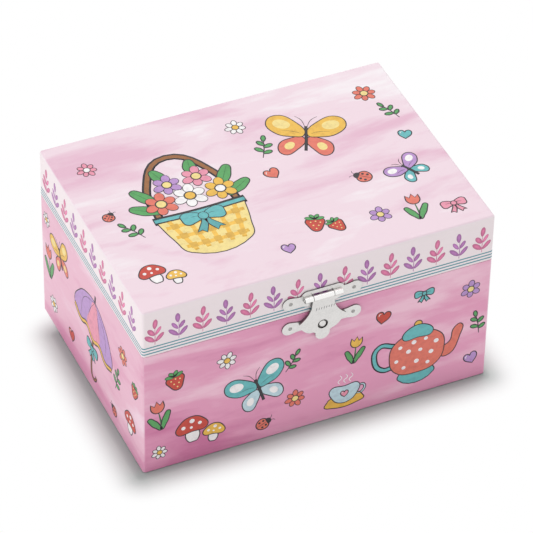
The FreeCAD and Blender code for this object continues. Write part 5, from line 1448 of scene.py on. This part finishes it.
def dancer_satin():
    """Bodice with straps, slippers on a small pad, and a rose in the hair."""
    bodice = [
        (0, 20.6),
        (1.9, 20.9),
        (2.3, 22.0),
        (1.95, 23.4),
        (1.5, 24.8),
        (1.72, 26.4),
        (2.02, 28.0),
        (2.0, 29.0),
        (1.72, 29.3),
        (0, 29.3),
    ]
    slipper = [(0.3, 0, 7.5), (0.28, -0.06, 6.4), (0.22, -0.1, 5.27)]
    strap = [(1.25, -1.15, 28.9), (1.35, -0.75, 30.2), (1.3, 0.75, 30.2), (1.15, 1.2, 28.9)]
    slippers = pair(slipper, (0.58, 0.62, 0.42))
    straps = pair(strap, (0.16,) * 4)
    rose = ball((1.25, 0.75, 36.6), (0.5, 0.5, 0.42))
    pad = turned([(0, 5.27), (1.75, 5.27), (1.85, 5.45), (1.6, 5.85), (0, 6.0)])
    return joined(flattened(turned(bodice), 0.8), *slippers, *straps, rose, pad)


def dancer_hair():
    """Smooth hair with a bun."""
    cap = ball((0, 0.42, 34.92), (2.08, 2.02, 2.32))
    bun = ball((0, 1.75, 36.5), (0.95, 0.95, 0.9))
    return joined(cap, bun)


def dancer_features():
    """Closed eyes and brows of a calm doll's face."""
    eye = [(0.42, -2.0, 34.5), (0.78, -1.92, 34.3), (1.16, -1.7, 34.52)]
    brow = [(0.42, -1.98, 35.18), (0.8, -1.86, 35.34), (1.2, -1.6, 35.2)]
    eyes = pair(eye, (0.07, 0.09, 0.06), 2, 6)
    brows = pair(brow, (0.04, 0.06, 0.03), 2, 6)
    return joined(*eyes, *brows)


def dancer_lips():
    """Small closed mouth."""
    mouth = [(-0.34, -1.9, 33.52), (0, -1.99, 33.42), (0.34, -1.9, 33.52)]
    return tube(mouth, (0.06, 0.12, 0.06), 2, 6)


# Tulle: rings and steps of its mesh, then its ripple, sway, fall at the rim and thickness in millimetres
TULLE_RINGS = 9
TULLE_STEPS = 120
TULLE_RIPPLE = 0.55
TULLE_SWAY = 0.2
TULLE_FALL = 0.6
TULLE_THICK = 0.08


def tutu_layer(inner, outer, height, droop, ruffles, phase):
    """One ring of tulle, spun and then ruffled."""
    wide = outer - inner
    profile = [(inner + wide * i / (TULLE_RINGS - 1), height) for i in range(TULLE_RINGS)]
    mesh = turned(profile, TULLE_STEPS)
    for vertex in mesh.verts:
        angle = math.atan2(vertex.co.y, vertex.co.x)
        share = (vertex.co.xy.length - inner) / wide
        wave = TULLE_RIPPLE * math.sin(ruffles * angle + phase) + TULLE_SWAY * math.sin(5 * angle + 2 * phase)
        vertex.co.z += wave * share + droop * share * (1 - share) - TULLE_FALL * share * share
    bmesh.ops.recalc_face_normals(mesh, faces=mesh.faces)
    bmesh.ops.solidify(mesh, geom=mesh.faces, thickness=TULLE_THICK)
    bmesh.ops.recalc_face_normals(mesh, faces=mesh.faces)
    return mesh


# Skirt's layers: inner and outer radius, height, droop, ruffles and their phase
TUTU_LAYERS = (
    (2.0, 12.2, 22.7, 1.2, 15, 0.0),
    (2.0, 11.4, 22.0, 0.9, 16, 1.1),
    (2.0, 10.2, 21.3, 0.5, 14, 2.3),
)


def make_tutu(material):
    """Three layers of tulle round the dancer's hips."""
    for number, (inner, outer, height, droop, ruffles, phase) in enumerate(TUTU_LAYERS, 1):
        mesh = tutu_layer(inner, outer, height, droop, ruffles, phase)
        layer = on_dancer(f"tutu_layer_{number}", mesh, material)
        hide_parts("ballerina_tutu")


# Clasp marks

# The hasp's front face, and the dark tone of the strokes stamped in it, painted as the shade in their grooves
HASP_FACE = -56.2 * MM
STAMP_PAINTED_SHADE = tone(96, 96, 98)

# Stamped strokes, in millimetres: how many, the first, the run, their height on the hasp and their width
STAMP_COUNT = 8
STAMP_START = -2.4
STAMP_RUN = 7.6
STAMP_HEIGHT = 63.6
STAMP_WIDTH = 0.26


def stamp_hasp():
    """Row of small stamped strokes across the hasp, drawn as dark ink that paints the shade of their grooves.
    """
    sheet = Print("front", (0, HASP_FACE, 0))
    for i in range(STAMP_COUNT):
        x = STAMP_START + i * STAMP_RUN / (STAMP_COUNT - 1)
        tall = 0.55 if i % 3 else 0.75
        stroke = [(x - 0.1, STAMP_HEIGHT - tall), (x, STAMP_HEIGHT), (x + 0.1, STAMP_HEIGHT + tall)]
        # Painted shade: each stroke is dark ink on the bare metal
        sheet.line(stroke, STAMP_WIDTH, STAMP_PAINTED_SHADE, 0)
    sheet.done("hasp_stamp", "hasp", "nickel")


# Stage


def aim(place, target):
    """A turn that looks from a place to a target."""
    way = Vector(target) - Vector(place)
    return Matrix.Translation(place) @ way.to_track_quat("-Z", "Y").to_matrix().to_4x4()


# Lamps: name, place in metres and power in watts
LAMPS = (
    ("overhead_lamp", (0.35, 0.45, 1.3), 5.2),
    ("left_lamp", (-1.2, -0.1, 0.55), 3.15),
)
LAMP_TARGET = (0, 0, 0.05)
LAMP_SIZE = 0.9


def soft_lamp(name, place, power):
    """A round lamp that looks at the box."""
    lamp = bpy.data.lights.new(name, "AREA")
    lamp.shape = "DISK"
    lamp.size = LAMP_SIZE
    lamp.energy = power
    holder = bpy.data.objects.new(name, lamp)
    holder.matrix_world = aim(place, LAMP_TARGET)
    bpy.context.scene.collection.objects.link(holder)


# Camera: place in metres, turn, tilt and roll, then lens and sensor in millimetres
CAMERA_PLACE = (-0.4774, -1.0417, 1.0290)
CAMERA_AZIMUTH = math.radians(-24.68)
CAMERA_ELEVATION = math.radians(40.782)
CAMERA_ROLL = math.radians(1.12)
CAMERA_LENS = 250.1
CAMERA_SENSOR = 36


def set_camera():
    """The photograph's view."""
    camera = bpy.data.cameras.new("camera")
    camera.lens = CAMERA_LENS
    camera.sensor_width = CAMERA_SENSOR
    flat = math.cos(CAMERA_ELEVATION)
    sine = math.sin(CAMERA_AZIMUTH)
    cosine = math.cos(CAMERA_AZIMUTH)
    ahead = Vector((-sine * flat, cosine * flat, -math.sin(CAMERA_ELEVATION)))
    level = Vector((cosine, sine, 0))
    over = level.cross(ahead)
    right = level * math.cos(CAMERA_ROLL) + over * math.sin(CAMERA_ROLL)
    up = right.cross(ahead)
    holder = bpy.data.objects.new("camera", camera)
    turn = Matrix((right, up, -ahead)).transposed().to_4x4()
    holder.matrix_world = Matrix.Translation(CAMERA_PLACE) @ turn
    bpy.context.scene.collection.objects.link(holder)
    bpy.context.scene.camera = holder


# Strength of the room light, and the rays that see the room as plain white
ROOM_LIGHT = 0.68
SEEN = ("Is Camera Ray", "Is Glossy Ray", "Is Transmission Ray")


def set_world():
    """Even room light, seen as plain white."""
    world = bpy.data.worlds.new("room")
    room = Shading(world, "ShaderNodeOutputWorld")
    lights = []
    for strength in (ROOM_LIGHT, 1.0):
        sockets = {"Color": (1, 1, 1, 1), "Strength": strength}
        lights.append(room.node("ShaderNodeBackground", sockets=sockets))
    room.feed(room.surface, room.choose(room.any_ray(*SEEN), *lights))
    bpy.context.scene.world = world


# Floor: its radius, how far the painted shadow's tones reach out from the box, those tones, and the box's
# place, about which the shadow is painted
FLOOR_SIZE = 3.0
FLOOR_REACH = 17 * MM
PAINTED_SHADOW_TONES = [(0.0, (0.46, 0.51, 0.49, 1)), (0.1, (0.6, 0.655, 0.63, 1)), (1.0, (0.95, 0.95, 0.95, 1))]
PAINTED_SHADOW_MIDDLE = (-1 * MM, -9.5 * MM)
PAINTED_SHADOW_HALF = (76 * MM, 45.5 * MM)


def set_floor():
    """White floor with a soft shadow painted into its colour round the box, over the lamps' own shadow,
    fading to plain white beyond it.
    """
    mesh = bmesh.new()
    bmesh.ops.create_circle(mesh, cap_ends=True, segments=64, radius=FLOOR_SIZE)
    data = bpy.data.meshes.new("floor")
    mesh.to_mesh(data)
    mesh.free()
    finish = Finish("floor", {"Roughness": 0.9, "Specular IOR Level": 0.0})
    x, y, _ = finish.axes()
    beside = (abs(x - PAINTED_SHADOW_MIDDLE[0]) - PAINTED_SHADOW_HALF[0]).most(0.0)
    before = (abs(y - PAINTED_SHADOW_MIDDLE[1]) - PAINTED_SHADOW_HALF[1]).most(0.0)
    away = (beside * beside + before * before).root()
    far = away.above(FLOOR_REACH / 2, FLOOR_REACH / 2)
    # Painted shadow: the floor's colour is darkened near the box
    finish.drive("Base Color", finish.ramp(far, PAINTED_SHADOW_TONES))
    glow = finish.node("ShaderNodeEmission")
    seen = finish.any_ray(*SEEN)
    finish.feed(finish.surface, finish.choose(far * seen, finish.shader, glow))
    data.materials.append(finish.material)
    floor = bpy.data.objects.new("floor", data)
    bpy.context.scene.collection.objects.link(floor)


# Operators


class JEWEL_OT_paper(bpy.types.Operator):
    """Papers the lid, the body and the underside."""

    bl_idname = "jewel.paper"
    bl_label = "Paper"

    def execute(self, context):
        c = colours("jewel_paper")
        paint(lid_paper(c), "lid_paper_wrap")
        paint(body_paper(c), "body_paper_wrap")
        paint(plain_paper("base_paper", tone(240, 234, 236)), "base_sheet")
        return {"FINISHED"}


class JEWEL_OT_boards(bpy.types.Operator):
    """Gives the boards under the paper their fibre."""

    bl_idname = "jewel.boards"
    bl_label = "Boards"

    def execute(self, context):
        lid = [f"lid_{part}" for part in ("top_panel", "front_rail", "back_rail", "left_rail", "right_rail")]
        body = [f"{part}_panel" for part in ("base", "front", "back", "left", "right")]
        paint(fibreboard(), *lid, *body)
        return {"FINISHED"}


class JEWEL_OT_linings(bpy.types.Operator):
    """Lines the walls and covers the stage, dividers and mirror frame."""

    bl_idname = "jewel.linings"
    bl_label = "Linings"

    def execute(self, context):
        c = colours("jewel_cloth")
        paint(lining_cloth("lining_cloth", c["lining"]), "body_lining", "lid_wall_lining", "lid_lining_frame")
        paint(lining_cloth("lining_board", shaded(c["velvet"], 1.12)), "tray_dividers")
        paint(velvet("stage_velvet", c["velvet"]), "stage_deck", "stage_frame")
        return {"FINISHED"}


class JEWEL_OT_metal(bpy.types.Operator):
    """Plates, turns and polishes the metal pieces and the mirror."""

    bl_idname = "jewel.metal"
    bl_label = "Metal and mirror"

    def execute(self, context):
        pin = joint_place("hasp_swing")
        nickel = metal("nickel", tone(226, 224, 222), 0.32, (1500, 1500, 1500), 0.4, (pin.y, pin.z))
        steel = metal("steel", tone(196, 198, 202), 0.34, (300, 300, 2600), 0.2)
        brass = metal("brass", tone(222, 186, 112), 0.3, (2600, 300, 300), 0.2)
        zinc = metal("zinc", tone(186, 188, 192), 0.5, (1400, 1400, 1400), 0.5)
        hinges = [f"hinge_leaf_{part}_{side}" for part in ("body", "lid") for side in ("left", "right")]
        plates = ["clasp_body_plate", "clasp_lid_plate", "clasp_hasp", "clasp_stud", "key_escutcheon"]
        trims = ["hinge_and_clasp_pins", "winding_key", "stop_rod", "movement_screws"]
        paint(nickel, *hinges, *plates, *trims)
        # Painted shade and dark reflection along the clasp plates' edges and the barrel's ends
        mark_painted_edge_shade(pin, "clasp_body_plate", "clasp_lid_plate", "clasp_hasp")
        paint(metal("nail_steel", tone(166, 164, 162), 0.4, (900, 900, 900), 0.3), "body_nails", "lid_nails")
        arbors = ["winding_arbor", "cylinder_arbor", "governor_arbor"]
        springs = ["mainspring", "click_spring", "stop_spring", "ballerina_spring"]
        paint(steel, "comb", *arbors, *springs)
        paint(brass, "cylinder_drum", "spring_barrel", "barrel_cap", "spindle_bush", "stop_rod_guide")
        paint(zinc, "movement_bedplate", "governor_bracket")
        paint(mirror_glass(), "mirror")
        return {"FINISHED"}


class JEWEL_OT_plastic(bpy.types.Operator):
    """Moulds the gears and the turntable."""

    bl_idname = "jewel.plastic"
    bl_label = "Plastic"

    def execute(self, context):
        gears = plastic("gear_plastic", tone(236, 234, 226), 0.45)
        paint(gears, "stage_drive_shaft", "turntable_gear", "governor_fly")
        paint(plastic("white_plastic", tone(246, 243, 241), 0.3), "turntable_spindle")
        return {"FINISHED"}


class JEWEL_OT_border(bpy.types.Operator):
    """Prints the sprig border and the stripes round the lid."""

    bl_idname = "jewel.border"
    bl_label = "Border"

    def execute(self, context):
        sizes = context.scene.jewel_sizes
        for face, (count, shift) in SPRIG_ROWS.items():
            pitch = sizes.sprig_pitch_short if face in ("left", "right") else sizes.sprig_pitch_long
            draw_border(face, count, pitch, shift)
        for i in range(STRIPES):
            draw_stripe(i + 1, lid_low.z + sizes.stripe_first + i * sizes.stripe_pitch, sizes.stripe_tall)
        return {"FINISHED"}


class JEWEL_OT_motifs(bpy.types.Operator):
    """Prints the flowers, butterflies and other motifs on the lid and the body."""

    bl_idname = "jewel.motifs"
    bl_label = "Motifs"

    def execute(self, context):
        print_top()
        print_front()
        print_left()
        print_right()
        print_back()
        return {"FINISHED"}


class JEWEL_OT_soft(bpy.types.Operator):
    """Fills the ring rolls and lays the felts of the trays."""

    bl_idname = "jewel.soft"
    bl_label = "Rolls and felts"

    def execute(self, context):
        c = colours("jewel_cloth")
        make_rolls(velvet("roll_velvet", shaded(c["velvet"], 1.08)))
        make_felts(velvet("felt", shaded(c["velvet"], 0.94)))
        return {"FINISHED"}


class JEWEL_OT_dancer(bpy.types.Operator):
    """Models the dancer, the skirt and the springs of the dancer and the stop."""

    bl_idname = "jewel.dancer"
    bl_label = "Dancer and springs"

    def execute(self, context):
        c = colours("jewel_cloth")
        bodice = satin_cloth("dancer_satin", c["satin"])
        satin = on_dancer("dancer_satin", dancer_satin(), bodice)
        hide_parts("ballerina_figure")
        others = (
            ("dancer_skin", dancer_skin(), plastic("dancer_skin", c["skin"], 0.4)),
            ("dancer_tights", dancer_tights(), satin_cloth("dancer_tights", c["tights"])),
            ("dancer_hair", dancer_hair(), plastic("dancer_hair", c["hair"], 0.45)),
            ("dancer_features", dancer_features(), plastic("dancer_features", BROW_TONE, 0.5)),
            ("dancer_lips", dancer_lips(), plastic("dancer_lips", LIP_TONE, 0.4)),
        )
        for name, mesh, material in others:
            on_dancer(name, mesh, material)
        make_tutu(tulle_net(c["tulle"]))
        make_spring("ballerina_spring", ("turntable", "ballerina"))
        make_spring("stop_spring", ("box_body", "stop"))
        return {"FINISHED"}


class JEWEL_OT_stamp(bpy.types.Operator):
    """Stamps the small strokes on the hasp."""

    bl_idname = "jewel.stamp"
    bl_label = "Clasp marks"

    def execute(self, context):
        stamp_hasp()
        return {"FINISHED"}


class JEWEL_OT_stage(bpy.types.Operator):
    """Sets the camera, the lamps and the floor."""

    bl_idname = "jewel.stage"
    bl_label = "Stage"

    def execute(self, context):
        context.scene.view_settings.view_transform = "Standard"
        set_camera()
        set_world()
        set_floor()
        for lamp in LAMPS:
            soft_lamp(*lamp)
        return {"FINISHED"}


class JEWEL_PT_box(bpy.types.Panel):
    """Lists the steps that dress the box."""

    bl_label = "Jewellery box"
    bl_idname = "JEWEL_PT_box"
    bl_space_type = "VIEW_3D"
    bl_region_type = "UI"
    bl_category = "Jewellery box"

    def draw(self, context):
        for step in STEPS:
            self.layout.operator(step.bl_idname)
        for group in GROUPS:
            values = getattr(context.scene, group)
            for key in type(values).__annotations__:
                self.layout.prop(values, key)


STEPS = (
    JEWEL_OT_stage,
    JEWEL_OT_paper,
    JEWEL_OT_boards,
    JEWEL_OT_linings,
    JEWEL_OT_metal,
    JEWEL_OT_plastic,
    JEWEL_OT_border,
    JEWEL_OT_motifs,
    JEWEL_OT_stamp,
    JEWEL_OT_soft,
    JEWEL_OT_dancer,
)
GROUPS = {
    "jewel_paper": PaperColours,
    "jewel_print": PrintColours,
    "jewel_cloth": ClothColours,
    "jewel_sizes": PrintSizes,
}


def register():
    for kind in (*GROUPS.values(), *STEPS, JEWEL_PT_box):
        bpy.utils.register_class(kind)
    for name, kind in GROUPS.items():
        setattr(bpy.types.Scene, name, bpy.props.PointerProperty(type=kind))


def unregister():
    for name in GROUPS:
        delattr(bpy.types.Scene, name)
    for kind in reversed((*GROUPS.values(), *STEPS, JEWEL_PT_box)):
        bpy.utils.unregister_class(kind)


def main():
    register()
    for step in STEPS:
        group, name = step.bl_idname.split(".")
        getattr(getattr(bpy.ops, group), name)()


if __name__ == "__main__":
    main()
